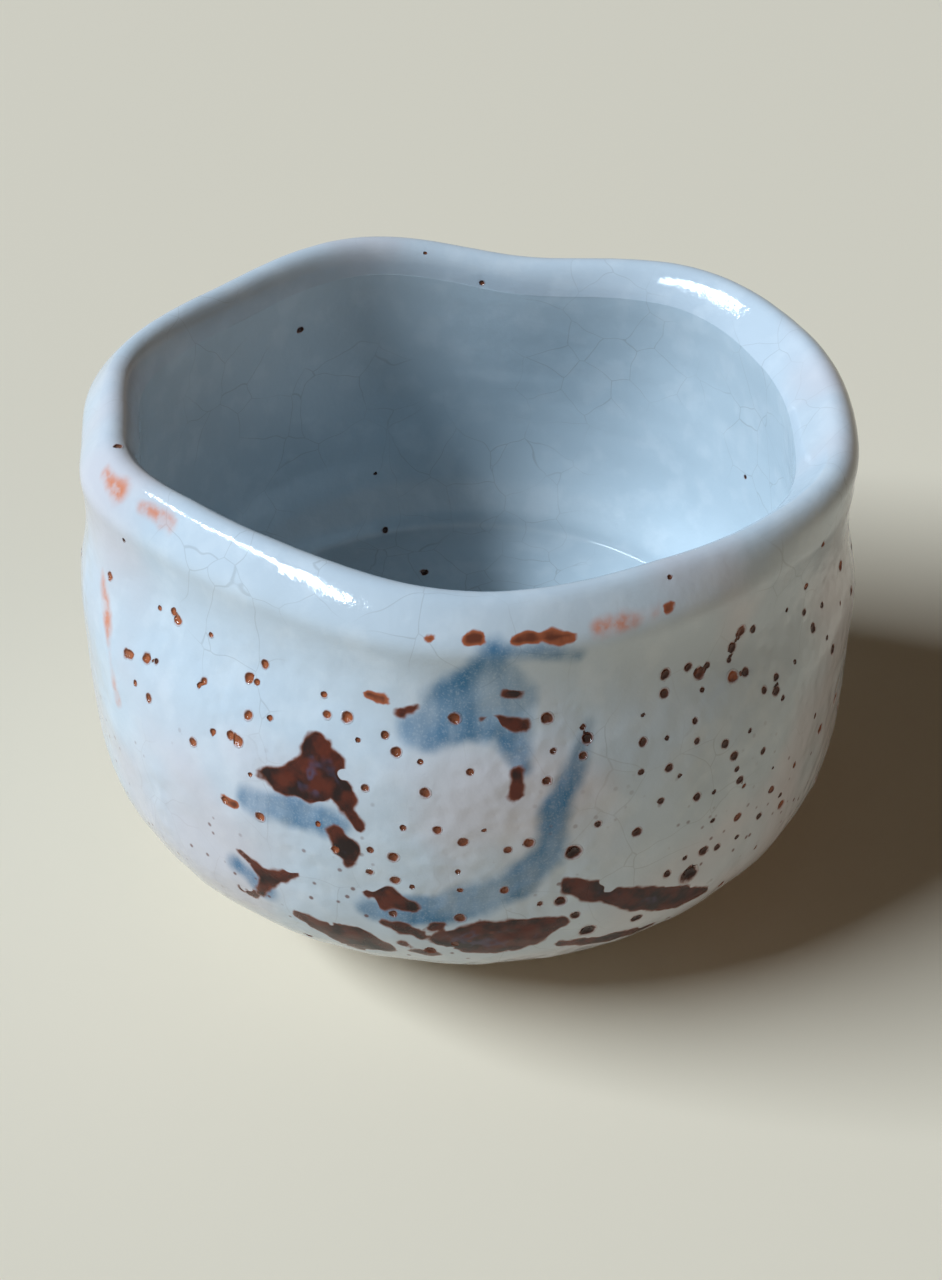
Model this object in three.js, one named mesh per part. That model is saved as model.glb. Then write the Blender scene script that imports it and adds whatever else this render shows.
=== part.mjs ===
// Tea bowl, thrown round and then pressed out of round at the lip by hand.
// A stoneware body stands on a luted foot ring; a thick glaze coats it outside and inside.
// Millimetres, +Z up. The bowl stands on z = 0 with the middle of its box over the origin.
// Bearings run anticlockwise seen from above: 0 is the right of the photo, 270 its front.
import * as THREE from 'three';
import { mergeGeometries, mergeVertices } from 'three/addons/utils/BufferGeometryUtils.js';

// Foot
const FOOT_HEIGHT = 5;
const FOOT_RADIUS = 30;
const FOOT_WIDTH = 6.5;
const FOOT_FLARE = 1.5;
const FOOT_EDGE = 0.8;

// Underside of the body
const BASE_RADIUS = 38;
const GLAZE_LINE_RISE = 2.1;
const RECESS_DEPTH = 3.5;
const RECESS_CORNER = 2;
const KNOB_RADIUS = 6;
const KNOB_DROP = 1.1;

// Outside of the clay
const BODY_RADIUS = 62.5;
const BODY_HEIGHT = 32.3;
const HAUNCH_REACH = 12;
const HAUNCH_LIFT = 2.5;
const HAUNCH_DROP = 16;
const SHOULDER_RADIUS = 62.3;
const SHOULDER_HEIGHT = 50;
const NECK_RADIUS = 59.2;
const NECK_DROP = 9;

// Lip of the clay, at its mean size before it is pressed
const RIM_HEIGHT = 81;
const LIP_RADIUS = 59.5;
const LIP_WIDTH = 7;
const LEDGE_DROP = 5;
const CREST_INSET = 4.4;
const BEVEL_FULLNESS = 0.58;
const SHOULDER_DROP = 4.8;
const NECK_HEIGHT = RIM_HEIGHT - NECK_DROP;

// Inside of the clay
const WALL = 4.5;
const FLOOR = 11.5;
const WELL_INSET = 6;
const WELL_CORNER = 3;
const WELL_RISE = 3.5;
const POOL_RADIUS = 20;
const POOL_DEPTH = 0.9;

// Glaze, held a hairline off the clay so that the solids stay apart
const GLAZE = 1;
const GLAZE_BEAD = 1.6;
const BOND = 0.1;

// Facets
const SEGMENTS = 52;
const FACET_LENGTH = 7;
const LEAST_STEPS = 3;
const MERGE = 1e-4;

// Where the potter's hands moved the lip at each bearing in degrees: out from the axis, up,
// and how far its crest leans out over the ledge.
const PRESSES = [
  { bearing: 0, out: 0.4, up: -1, lean: 3.2 },
  { bearing: 24, out: 2.8, up: -0.5, lean: 3 },
  { bearing: 48, out: 4.4, up: 0.5, lean: 1.5 },
  { bearing: 79, out: 0, up: -1.2, lean: 0 },
  { bearing: 110, out: 4.5, up: 1.6, lean: 0 },
  { bearing: 138, out: 3, up: 0.2, lean: 0 },
  { bearing: 163, out: 3.8, up: 0, lean: 0 },
  { bearing: 182, out: 0.5, up: 0, lean: 0 },
  { bearing: 197, out: -0.2, up: -0.3, lean: 0 },
  { bearing: 218, out: -5.2, up: -0.4, lean: 0 },
  { bearing: 240, out: -5.8, up: 0.2, lean: 0 },
  { bearing: 270, out: -2.2, up: -0.1, lean: 0 },
  { bearing: 300, out: -2.7, up: -0.4, lean: 0 },
  { bearing: 322, out: -2, up: -0.9, lean: 1.6 },
  { bearing: 342, out: 0.2, up: -1.2, lean: 2.8 },
];
const PRESS_START = 40;

const TURN = 360;

// A value between four presses, by a curve that passes through all of them.
function between(before, from, to, after, share) {
  const leaving = (to - before) / 2;
  const arriving = (after - from) / 2;
  const square = share * share;
  const cube = square * share;
  return (2 * cube - 3 * square + 1) * from + (cube - 2 * square + share) * leaving
    + (3 * square - 2 * cube) * to + (cube - square) * arriving;
}

// How far the hands moved the lip at one bearing.
function pressAt(bearing) {
  const count = PRESSES.length;
  const angle = THREE.MathUtils.euclideanModulo(bearing, TURN);
  const next = PRESSES.findIndex((press) => press.bearing > angle);
  const to = next < 0 ? 0 : next;
  const around = [-2, -1, 0, 1].map((step) => PRESSES[(to + step + count) % count]);
  const [before, from, ahead, after] = around;
  const span = THREE.MathUtils.euclideanModulo(ahead.bearing - from.bearing, TURN);
  const share = THREE.MathUtils.euclideanModulo(angle - from.bearing, TURN) / span;
  return {
    out: between(before.out, from.out, ahead.out, after.out, share),
    up: between(before.up, from.up, ahead.up, after.up, share),
    lean: between(before.lean, from.lean, ahead.lean, after.lean, share),
  };
}

// Moves a thrown surface the way the hands did: nothing low down, all of it from the neck up.
function press(geometry) {
  const points = geometry.attributes.position;
  const point = new THREE.Vector3();
  for (let index = 0; index < points.count; index += 1) {
    point.fromBufferAttribute(points, index);
    const radius = Math.hypot(point.x, point.y);
    const share = THREE.MathUtils.smoothstep(point.z, PRESS_START, NECK_HEIGHT);
    const crest = THREE.MathUtils.smoothstep(point.z, RIM_HEIGHT - LEDGE_DROP, RIM_HEIGHT);
    if (radius > 0 && share > 0) {
      const moved = pressAt(THREE.MathUtils.radToDeg(Math.atan2(point.y, point.x)));
      const stretch = 1 + (share * moved.out + crest * moved.lean) / radius;
      points.setXYZ(index, point.x * stretch, point.y * stretch, point.z + share * moved.up);
    }
  }
  return geometry;
}

// A profile: points along a path, each with the direction that faces out of the clay there.
function profileOf(path) {
  const samples = [];
  path.curves.forEach((curve) => {
    const even = Math.ceil(curve.getLength() / FACET_LENGTH);
    const steps = curve.isLineCurve ? 1 : Math.max(LEAST_STEPS, even);
    for (let step = 0; step <= steps; step += 1) {
      const along = curve.getTangent(step / steps);
      const facing = new THREE.Vector2(along.y, -along.x);
      if (step === 0 && samples.length > 0) {
        samples.at(-1).facing.add(facing).normalize();
      } else {
        samples.push({ point: curve.getPoint(step / steps), facing });
      }
    }
  });
  return samples;
}

// The points of a profile, each moved out of the clay by the thickness given for it.
function offset(profile, thicknessAt) {
  return profile.map(({ point, facing }, index) => {
    const moved = point.clone().addScaledVector(facing, thicknessAt(index));
    return point.x > 0 ? moved : moved.setX(0);
  });
}

// An open surface turned from (radius, height) points and then pressed.
function turned(points) {
  const geometry = new THREE.LatheGeometry(points, SEGMENTS).rotateX(Math.PI / 2);
  geometry.deleteAttribute('normal');
  geometry.deleteAttribute('uv');
  return press(geometry);
}

// The same surface facing the other way.
function facingBack(geometry) {
  return geometry.clone().setIndex(Array.from(geometry.index.array).reverse());
}

// One closed solid from surfaces that share their edges, without the slivers at the axis.
function solid(surfaces) {
  const joined = mergeVertices(mergeGeometries(surfaces), MERGE);
  const corners = joined.index.array;
  const kept = [];
  for (let index = 0; index < corners.length; index += 3) {
    const [a, b, c] = corners.slice(index, index + 3);
    if (a !== b && b !== c && c !== a) {
      kept.push(a, b, c);
    }
  }
  joined.setIndex(kept);
  joined.computeVertexNormals();
  return joined;
}

// A coat over a profile: its free face, its face to the clay and the two edges between them.
function coat(profile, thicknessAt) {
  const free = offset(profile, (index) => BOND + thicknessAt(index));
  const bonded = offset(profile, () => BOND);
  const edges = [facingBack(turned([free[0], bonded[0]]))];
  if (free.at(-1).x > 0) {
    edges.push(turned([free.at(-1), bonded.at(-1)]));
  }
  return [turned(free), facingBack(turned(bonded)), ...edges];
}

// From the axis under the floor, across the carved recess and the foot's seat, to the glaze line.
function undersideProfile() {
  const recessHeight = FOOT_HEIGHT + RECESS_DEPTH;
  const recessRadius = FOOT_RADIUS - FOOT_WIDTH;
  const path = new THREE.Path();
  path.moveTo(0, recessHeight - KNOB_DROP);
  path.quadraticCurveTo(KNOB_RADIUS / 2, recessHeight, KNOB_RADIUS, recessHeight);
  path.lineTo(recessRadius - RECESS_CORNER, recessHeight);
  path.quadraticCurveTo(recessRadius, recessHeight, recessRadius, FOOT_HEIGHT);
  path.lineTo(FOOT_RADIUS + FOOT_FLARE, FOOT_HEIGHT);
  path.lineTo(BASE_RADIUS, FOOT_HEIGHT + GLAZE_LINE_RISE);
  return profileOf(path);
}

// From the glaze line round the haunch, up the wall, out to the ledge and over the lip.
function outsideProfile() {
  const ledgeHeight = RIM_HEIGHT - LEDGE_DROP;
  const glazeLine = FOOT_HEIGHT + GLAZE_LINE_RISE;
  const crestRadius = LIP_RADIUS - CREST_INSET;
  const lipInside = LIP_RADIUS - LIP_WIDTH;
  const path = new THREE.Path();
  path.moveTo(BASE_RADIUS, glazeLine);
  path.bezierCurveTo(
    BASE_RADIUS + HAUNCH_REACH, glazeLine + HAUNCH_LIFT,
    BODY_RADIUS, BODY_HEIGHT - HAUNCH_DROP,
    BODY_RADIUS, BODY_HEIGHT,
  );
  const wallMiddle = (BODY_HEIGHT + SHOULDER_HEIGHT) / 2;
  path.quadraticCurveTo(BODY_RADIUS, wallMiddle, SHOULDER_RADIUS, SHOULDER_HEIGHT);
  const neckMiddle = (SHOULDER_HEIGHT + NECK_HEIGHT) / 2;
  path.bezierCurveTo(
    SHOULDER_RADIUS, neckMiddle,
    NECK_RADIUS, neckMiddle,
    NECK_RADIUS, NECK_HEIGHT,
  );
  path.quadraticCurveTo(NECK_RADIUS, (NECK_HEIGHT + ledgeHeight) / 2, LIP_RADIUS, ledgeHeight);
  path.quadraticCurveTo(
    THREE.MathUtils.lerp(crestRadius, LIP_RADIUS, BEVEL_FULLNESS),
    THREE.MathUtils.lerp(ledgeHeight, RIM_HEIGHT, BEVEL_FULLNESS),
    crestRadius, RIM_HEIGHT,
  );
  path.quadraticCurveTo(lipInside, RIM_HEIGHT, lipInside, RIM_HEIGHT - SHOULDER_DROP);
  return profileOf(path);
}

// From the inner shoulder of the lip down the wall, round the well's corner and across to the axis.
function insideProfile() {
  const lipInside = LIP_RADIUS - LIP_WIDTH;
  const wallInside = BODY_RADIUS - WALL;
  const wallMiddle = (BODY_HEIGHT + SHOULDER_HEIGHT) / 2;
  const wellRadius = wallInside - WELL_INSET;
  const floorHeight = FOOT_HEIGHT + RECESS_DEPTH + FLOOR;
  const wellHeight = floorHeight + WELL_RISE;
  const path = new THREE.Path();
  path.moveTo(lipInside, RIM_HEIGHT - SHOULDER_DROP);
  path.bezierCurveTo(
    lipInside, NECK_HEIGHT - SHOULDER_DROP,
    wallInside, SHOULDER_HEIGHT,
    wallInside, wallMiddle,
  );
  path.bezierCurveTo(
    wallInside, (wallMiddle + wellHeight) / 2,
    wellRadius + WELL_CORNER / 2, wellHeight + WELL_CORNER * 2,
    wellRadius, wellHeight + WELL_CORNER,
  );
  path.quadraticCurveTo(wellRadius, wellHeight, wellRadius - WELL_CORNER, wellHeight);
  path.lineTo(POOL_RADIUS, floorHeight - POOL_DEPTH / 3);
  path.quadraticCurveTo(POOL_RADIUS / 2, floorHeight - POOL_DEPTH, 0, floorHeight - POOL_DEPTH);
  return profileOf(path);
}

// The foot ring's closed section, standing on z = 0 with rounded wearing edges.
function footProfile() {
  const inside = FOOT_RADIUS - FOOT_WIDTH;
  const shape = new THREE.Shape();
  shape.moveTo(inside + FOOT_EDGE, 0);
  shape.lineTo(FOOT_RADIUS - FOOT_EDGE, 0);
  shape.quadraticCurveTo(FOOT_RADIUS, 0, FOOT_RADIUS, FOOT_EDGE);
  shape.lineTo(FOOT_RADIUS + FOOT_FLARE, FOOT_HEIGHT);
  shape.lineTo(inside, FOOT_HEIGHT);
  shape.lineTo(inside, FOOT_EDGE);
  shape.quadraticCurveTo(inside, 0, inside + FOOT_EDGE, 0);
  return profileOf(shape);
}

const clay = new THREE.MeshStandardMaterial({ color: 0xb99b78, roughness: 0.9, metalness: 0 });
const glaze = new THREE.MeshStandardMaterial({ color: 0xdfe6ea, roughness: 0.15, metalness: 0 });

function piece(name, surfaces, material) {
  const mesh = new THREE.Mesh(solid(surfaces), material);
  mesh.name = name;
  return mesh;
}

function bare(profile) {
  return turned(profile.map(({ point }) => point));
}

const outside = outsideProfile();
const inside = insideProfile();

// The poured coat starts a hairline below the end of the dipped one.
const poured = inside.map(({ point, facing }) => ({ point: point.clone(), facing }));
const start = inside[0].point;
poured[0].point.lerp(inside[1].point, BOND / start.distanceTo(inside[1].point));

const bowl = new THREE.Group();
bowl.name = 'tea_bowl';
bowl.add(
  piece('clay_body', [bare(undersideProfile()), bare(outside), bare(inside)], clay),
  piece('foot_ring', [bare(footProfile())], clay),
  piece('outer_glaze', coat(outside, (index) => (index === 0 ? GLAZE_BEAD : GLAZE)), glaze),
  piece('inner_glaze', coat(poured, () => GLAZE), glaze),
);

// The pressed lip moves the box, so the bowl is set back over the origin.
const middle = new THREE.Box3().setFromObject(bowl).getCenter(new THREE.Vector3());
bowl.position.set(-middle.x, -middle.y, 0);

export default bowl;
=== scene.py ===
"""Tea bowl: fine glaze with painted marks and firing pits over bare clay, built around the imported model."""

import logging
import math
from dataclasses import dataclass, field
from enum import Enum
from typing import NamedTuple, Sequence

import bpy
import numpy as np
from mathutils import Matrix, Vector, noise
from mathutils.bvhtree import BVHTree


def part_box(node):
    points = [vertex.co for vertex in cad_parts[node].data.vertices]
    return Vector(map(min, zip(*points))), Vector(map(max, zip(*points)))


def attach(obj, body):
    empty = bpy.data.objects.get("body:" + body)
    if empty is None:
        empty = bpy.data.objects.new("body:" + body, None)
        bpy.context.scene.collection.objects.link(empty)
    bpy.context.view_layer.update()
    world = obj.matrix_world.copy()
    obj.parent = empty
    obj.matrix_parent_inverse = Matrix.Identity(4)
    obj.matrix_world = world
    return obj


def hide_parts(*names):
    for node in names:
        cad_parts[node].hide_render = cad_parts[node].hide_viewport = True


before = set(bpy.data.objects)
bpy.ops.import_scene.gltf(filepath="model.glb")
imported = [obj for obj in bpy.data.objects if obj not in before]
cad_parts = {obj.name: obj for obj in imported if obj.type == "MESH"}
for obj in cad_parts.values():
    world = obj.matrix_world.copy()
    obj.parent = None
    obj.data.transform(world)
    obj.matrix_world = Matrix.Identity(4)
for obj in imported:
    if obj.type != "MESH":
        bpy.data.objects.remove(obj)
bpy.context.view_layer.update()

LOG = logging.getLogger("tea_bowl")
BODY = "root"
MM = 0.001
TURN = 2.0 * math.pi
CIRCLE = 360.0

Socket = bpy.types.NodeSocket
Colour = tuple[float, float, float, float]
Point = tuple[float, float]
Span = tuple[float, float]
Curves = tuple[tuple[Point, ...], ...]


class Pigment(Enum):
    """A painted or fired colour in the outer glaze, named as its mesh attribute."""

    IRON = "iron"
    RUST = "rust"
    COBALT = "cobalt"
    BLUSH = "blush"


class Press(NamedTuple):
    """How far the potter's hands moved the lip at one bearing, in degrees and millimetres."""

    bearing: float
    out: float
    up: float
    lean: float


class PhotoPlace(NamedTuple):
    """A place on the bowl, given by a pixel of the photo, 942 wide and 1280 high."""

    x: float
    y: float


class BowlPlace(NamedTuple):
    """A place on the outside of the bowl, by bearing in degrees and height in millimetres."""

    bearing: float
    height: float


Place = PhotoPlace | BowlPlace


class Dab(NamedTuple):
    """One point of a brush stroke: where it is and half its width in millimetres."""

    place: Place
    half_width: float


Stroke = tuple[Dab, ...]


class PitGroup(NamedTuple):
    """Firing pits that lie together and share a size and a tone.

    Attributes:
        radius: middling radius of its pits in millimetres.
        tone: 0 for dark brown, 1 for orange.
        places: where the pits are.
    """

    radius: float
    tone: float
    places: tuple[PhotoPlace, ...]


class Wave(NamedTuple):
    """A wave along the glaze line: its size as a share, and how close its crests are."""

    size: float
    closeness: float


class PitField(NamedTuple):
    """Firing pits scattered between two bearings in degrees, as a share of the full density."""

    start: float
    end: float
    share: float


class Fade(NamedTuple):
    """A smooth change from a start to an end result, as a value goes from low to high."""

    low: float
    high: float
    start: float
    end: float


class Patches(NamedTuple):
    """A cloudy pattern: its fineness, its finer layers, the fade that cuts it, and its squash in height."""

    scale: float
    detail: float
    fade: Fade
    squash: float = 1.0


class Rag(NamedTuple):
    """How an edge strays: how finely, with how many finer layers, and how far."""

    scale: float
    detail: float
    reach: float


@dataclass(frozen=True)
class BowlSizes:
    """The bowl's driving sizes in millimetres, as in the CAD model."""

    foot_height: float = 5.0
    foot_radius: float = 30.0
    foot_width: float = 6.5
    foot_flare: float = 1.5
    foot_edge: float = 0.8
    base_radius: float = 38.0
    glaze_line_rise: float = 2.1
    recess_depth: float = 3.5
    recess_corner: float = 2.0
    knob_radius: float = 6.0
    knob_drop: float = 1.1
    body_radius: float = 62.5
    body_height: float = 32.3
    haunch_reach: float = 12.0
    haunch_lift: float = 2.5
    haunch_drop: float = 16.0
    shoulder_radius: float = 62.3
    shoulder_height: float = 50.0
    neck_radius: float = 59.2
    neck_drop: float = 9.0
    rim_height: float = 81.0
    lip_radius: float = 59.5
    lip_width: float = 7.0
    ledge_drop: float = 5.0
    crest_inset: float = 4.4
    bevel_fullness: float = 0.58
    shoulder_drop: float = 4.8
    wall: float = 4.5
    floor: float = 11.5
    well_inset: float = 6.0
    well_corner: float = 3.0
    well_rise: float = 3.5
    pool_radius: float = 20.0
    pool_depth: float = 0.9
    glaze: float = 1.0
    glaze_bead: float = 1.6
    bead_reach: float = 4.0
    bond: float = 0.1
    press_start: float = 40.0
    presses: tuple[Press, ...] = (
        Press(0, 0.4, -1.0, 3.2),
        Press(24, 2.8, -0.5, 3.0),
        Press(48, 4.4, 0.5, 1.5),
        Press(79, 0.0, -1.2, 0.0),
        Press(110, 4.5, 1.6, 0.0),
        Press(138, 3.0, 0.2, 0.0),
        Press(163, 3.8, 0.0, 0.0),
        Press(182, 0.5, 0.0, 0.0),
        Press(197, -0.2, -0.3, 0.0),
        Press(218, -5.2, -0.4, 0.0),
        Press(240, -5.8, 0.2, 0.0),
        Press(270, -2.2, -0.1, 0.0),
        Press(300, -2.7, -0.4, 0.0),
        Press(322, -2.0, -0.9, 1.6),
        Press(342, 0.2, -1.2, 2.8),
    )

    @property
    def neck_height(self) -> float:
        """Height of the neck under the lip, in millimetres."""
        return self.rim_height - self.neck_drop


@dataclass(frozen=True)
class Detail:
    """How finely the pieces are cut: points round the bowl, and millimetres along a section."""

    bearings: int = 600
    spacing: float = 0.68
    hidden_spacing: float = 9.0
    clay_bearings: int = 256
    clay_spacing: float = 1.5
    softening: int = 2
    least_steps: int = 3
    trial_points: int = 33


@dataclass
class Profile:
    """Points of a section as (radius, height) in millimetres, with the way out of the clay at each."""

    points: np.ndarray
    facing: np.ndarray

    def moved(self, thickness: np.ndarray | float) -> np.ndarray:
        """Moves the points out of the clay.

        Args:
            thickness: how far, for all points or for each.

        Returns:
            The moved (radius, height) points, kept on the axis where they were on it.
        """
        far = np.broadcast_to(np.asarray(thickness, float), (len(self.points),))
        moved = self.points + self.facing * far[:, None]
        moved[:, 0] = np.where(self.points[:, 0] > 0.0, moved[:, 0], 0.0)
        return moved

    def lengths(self) -> np.ndarray:
        """Measures along the section, from the first point to each point."""
        steps = np.linalg.norm(np.diff(self.points, axis=0), axis=1)
        return np.concatenate([[0.0], np.cumsum(steps)])


def along_curve(controls: Sequence[Point], shares: np.ndarray) -> tuple[np.ndarray, np.ndarray]:
    """Follows a Bezier curve of any degree.

    Args:
        controls: its control points.
        shares: how far along, from 0 to 1.

    Returns:
        The points and the unit directions there.
    """
    layer = np.repeat(np.asarray(controls, float)[None], len(shares), axis=0)
    last = layer
    while layer.shape[1] > 1:
        last = layer
        layer = last[:, :-1] + (last[:, 1:] - last[:, :-1]) * shares[:, None, None]
    along = last[:, 1] - last[:, 0]
    return layer[:, 0], along / np.linalg.norm(along, axis=1, keepdims=True)


def section(curves: Curves, spacing: float, softening: int = 0) -> Profile:
    """Samples joined curves evenly.

    Args:
        curves: the control points of each curve, each starting where the last ended.
        spacing: the distance between points in millimetres.
        softening: how often the points are averaged with their neighbours to round the corners.

    Returns:
        The sampled section.
    """
    points: list[np.ndarray] = []
    for controls in curves:
        trial, _ = along_curve(controls, np.linspace(0.0, 1.0, Detail.trial_points))
        length = np.linalg.norm(np.diff(trial, axis=0), axis=1).sum()
        steps = max(Detail.least_steps, math.ceil(length / spacing))
        found, _ = along_curve(controls, np.linspace(0.0, 1.0, steps + 1))
        points.append(found if not points else found[1:])
    joined = np.concatenate(points)
    for _ in range(softening):
        joined[1:-1] = (joined[:-2] + 2.0 * joined[1:-1] + joined[2:]) / 4.0
    along = np.gradient(joined, axis=0)
    along /= np.linalg.norm(along, axis=1, keepdims=True)
    along[0] = along_curve(curves[0], np.zeros(1))[1][0]
    along[-1] = along_curve(curves[-1], np.ones(1))[1][0]
    return Profile(joined, np.stack([along[:, 1], -along[:, 0]], axis=1))


def eased(share: np.ndarray) -> np.ndarray:
    """Holds a share between 0 and 1 and eases it at both ends."""
    held = np.clip(share, 0.0, 1.0)
    return held * held * (3.0 - 2.0 * held)


def bearings_of(count: int) -> np.ndarray:
    """Lists the bearings of points that go round evenly, in radians."""
    return np.arange(count) * TURN / count


@dataclass
class BowlForm:
    """The bowl's sections and the pressing of its lip.

    Attributes:
        sizes: the bowl's sizes.
        axis: where its axis stands, in millimetres.
    """

    sizes: BowlSizes = field(default_factory=BowlSizes)
    axis: Point = (0.0, 0.0)

    def underside(self) -> Curves:
        """Follows the bare clay from the axis to the glaze line.

        Returns:
            The curves of its section.
        """
        size = self.sizes
        recess = size.foot_height + size.recess_depth
        inside = size.foot_radius - size.foot_width
        knob = ((0.0, recess - size.knob_drop), (size.knob_radius / 2.0, recess), (size.knob_radius, recess))
        flat = (knob[-1], (inside - size.recess_corner, recess))
        corner = (flat[-1], (inside, recess), (inside, size.foot_height))
        seat = (corner[-1], (size.foot_radius + size.foot_flare, size.foot_height))
        skirt = (seat[-1], (size.base_radius, size.foot_height + size.glaze_line_rise))
        return knob, flat, corner, seat, skirt

    def outside(self) -> Curves:
        """Follows the clay from the glaze line up the wall and over the lip.

        Returns:
            The curves of its section.
        """
        size = self.sizes
        line = size.foot_height + size.glaze_line_rise
        ledge = size.rim_height - size.ledge_drop
        lip_inside = size.lip_radius - size.lip_width
        middle = (size.body_height + size.shoulder_height) / 2.0
        throat = (size.shoulder_height + size.neck_height) / 2.0
        haunch = (
            (size.base_radius, line),
            (size.base_radius + size.haunch_reach, line + size.haunch_lift),
            (size.body_radius, size.body_height - size.haunch_drop),
            (size.body_radius, size.body_height),
        )
        wall = (haunch[-1], (size.body_radius, middle), (size.shoulder_radius, size.shoulder_height))
        neck = (
            wall[-1],
            (size.shoulder_radius, throat),
            (size.neck_radius, throat),
            (size.neck_radius, size.neck_height),
        )
        under = (neck[-1], (size.neck_radius, (size.neck_height + ledge) / 2.0), (size.lip_radius, ledge))
        crest = (size.lip_radius - size.crest_inset, size.rim_height)
        fullness = size.bevel_fullness
        bevel = (crest[0] + fullness * size.crest_inset, ledge + fullness * size.ledge_drop)
        over = (under[-1], bevel, crest)
        into = (over[-1], (lip_inside, size.rim_height), (lip_inside, size.rim_height - size.shoulder_drop))
        return haunch, wall, neck, under, over, into

    def inside(self) -> Curves:
        """Follows the clay from the inner shoulder of the lip down to the axis.

        Returns:
            The curves of its section.
        """
        size = self.sizes
        lip_inside = size.lip_radius - size.lip_width
        wall_inside = size.body_radius - size.wall
        floor = size.foot_height + size.recess_depth + size.floor
        middle = (size.body_height + size.shoulder_height) / 2.0
        pool = floor - size.pool_depth
        wall = (
            (lip_inside, size.rim_height - size.shoulder_drop),
            (lip_inside, size.neck_height - size.shoulder_drop),
            (wall_inside, size.shoulder_height),
            (wall_inside, middle),
        )
        radius = wall_inside - size.well_inset
        well = floor + size.well_rise
        side = (
            wall[-1],
            (wall_inside, (middle + well) / 2.0),
            (radius + size.well_corner / 2.0, well + size.well_corner * 2.0),
            (radius, well + size.well_corner),
        )
        corner = (side[-1], (radius, well), (radius - size.well_corner, well))
        edge = (corner[-1], (size.pool_radius, floor - size.pool_depth / 3.0))
        dish = (edge[-1], (size.pool_radius / 2.0, pool), (0.0, pool))
        return wall, side, corner, edge, dish

    def foot(self) -> Curves:
        """Follows the foot ring all round.

        Returns:
            The curves of its section, which end where they start.
        """
        size = self.sizes
        inside = size.foot_radius - size.foot_width
        face = ((inside + size.foot_edge, 0.0), (size.foot_radius - size.foot_edge, 0.0))
        outer = (face[-1], (size.foot_radius, 0.0), (size.foot_radius, size.foot_edge))
        side = (outer[-1], (size.foot_radius + size.foot_flare, size.foot_height))
        top = (side[-1], (inside, size.foot_height))
        back = (top[-1], (inside, size.foot_edge))
        inner = (back[-1], (inside, 0.0), face[0])
        return face, outer, side, top, back, inner

    def pressing(self, bearings: np.ndarray) -> list[np.ndarray]:
        """How far the hands moved the lip, as a smooth curve through the presses.

        Args:
            bearings: the bearings in radians.

        Returns:
            How far out, how far up and how far its crest leans out, in millimetres.
        """
        presses = self.sizes.presses
        count = len(presses)
        angles = np.degrees(bearings) % CIRCLE
        starts = np.array([press.bearing for press in presses])
        here = (np.searchsorted(starts, angles, side="right") - 1) % count
        around = [(here + step) % count for step in (-1, 0, 1, 2)]
        span = (starts[around[2]] - starts[around[1]]) % CIRCLE
        share = ((angles - starts[around[1]]) % CIRCLE) / span
        square = share**2
        cube = share**3
        moves: list[np.ndarray] = []
        for values in np.array([(press.out, press.up, press.lean) for press in presses]).T:
            before, start, end, after = (values[index] for index in around)
            leaving = (end - before) / 2.0
            arriving = (after - start) / 2.0
            moves.append(
                (2.0 * cube - 3.0 * square + 1.0) * start
                + (cube - 2.0 * square + share) * leaving
                + (3.0 * square - 2.0 * cube) * end
                + (cube - square) * arriving
            )
        return moves

    def turned(self, rows: np.ndarray, bearings: int) -> np.ndarray:
        """Turns (radius, height) rows round the axis and presses them.

        Args:
            rows: the rows in millimetres.
            bearings: how many points go round.

        Returns:
            The points as an array of rows by bearings by three, in millimetres.
        """
        size = self.sizes
        angles = bearings_of(bearings)
        out, up, lean = self.pressing(angles)
        radius = rows[:, 0:1]
        height = rows[:, 1:2]
        share = eased((height - size.press_start) / (size.neck_height - size.press_start)) * (radius > 0.0)
        top = eased((height - size.rim_height + size.ledge_drop) / size.ledge_drop)
        reach = radius + share * out + top * lean
        tall = height + share * up
        x, y = self.axis
        return np.stack([x + reach * np.cos(angles), y + reach * np.sin(angles), tall], axis=2)


@dataclass(frozen=True)
class PhotoCamera:
    """The camera that took the photo, from the fit of the bowl's outline.

    Attributes:
        place: where it stands in millimetres.
        pitch: how far it looks down in degrees.
        lens: focal length in millimetres on a frame of the given long side.
        sensor: long side of that frame in millimetres.
        width: width of the photo in pixels.
        height: height of the photo in pixels.
        nearest: where its view begins in metres.
        farthest: where its view ends in metres.
    """

    place: tuple[float, float, float] = (0.56, -245.1, 219.8)
    pitch: float = 37.1
    lens: float = 50.0
    sensor: float = 36.0
    width: float = 942.0
    height: float = 1280.0
    nearest: float = 0.01
    farthest: float = 50.0

    def ray(self, pixel: PhotoPlace) -> tuple[Vector, Vector]:
        """The line of sight through a pixel.

        Args:
            pixel: the pixel.

        Returns:
            Where the line starts and its direction, in millimetres.
        """
        focal = self.lens / self.sensor * self.height
        tilt = math.radians(self.pitch)
        across = pixel.x - self.width / 2.0
        down = pixel.y - self.height / 2.0
        ahead = focal * math.cos(tilt) - down * math.sin(tilt)
        fall = -focal * math.sin(tilt) - down * math.cos(tilt)
        return Vector(self.place), Vector((across, ahead, fall)).normalized()

    def build(self) -> None:
        """Adds the camera to the scene."""
        data = bpy.data.cameras.new("photo_camera")
        data.lens = self.lens
        data.sensor_width = self.sensor
        data.sensor_fit = "AUTO"
        data.clip_start = self.nearest
        data.clip_end = self.farthest
        camera = bpy.data.objects.new("photo_camera", data)
        camera.location = Vector(self.place) * MM
        camera.rotation_euler = (math.radians(90.0 - self.pitch), 0.0, 0.0)
        bpy.context.scene.collection.objects.link(camera)
        bpy.context.scene.camera = camera


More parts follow.
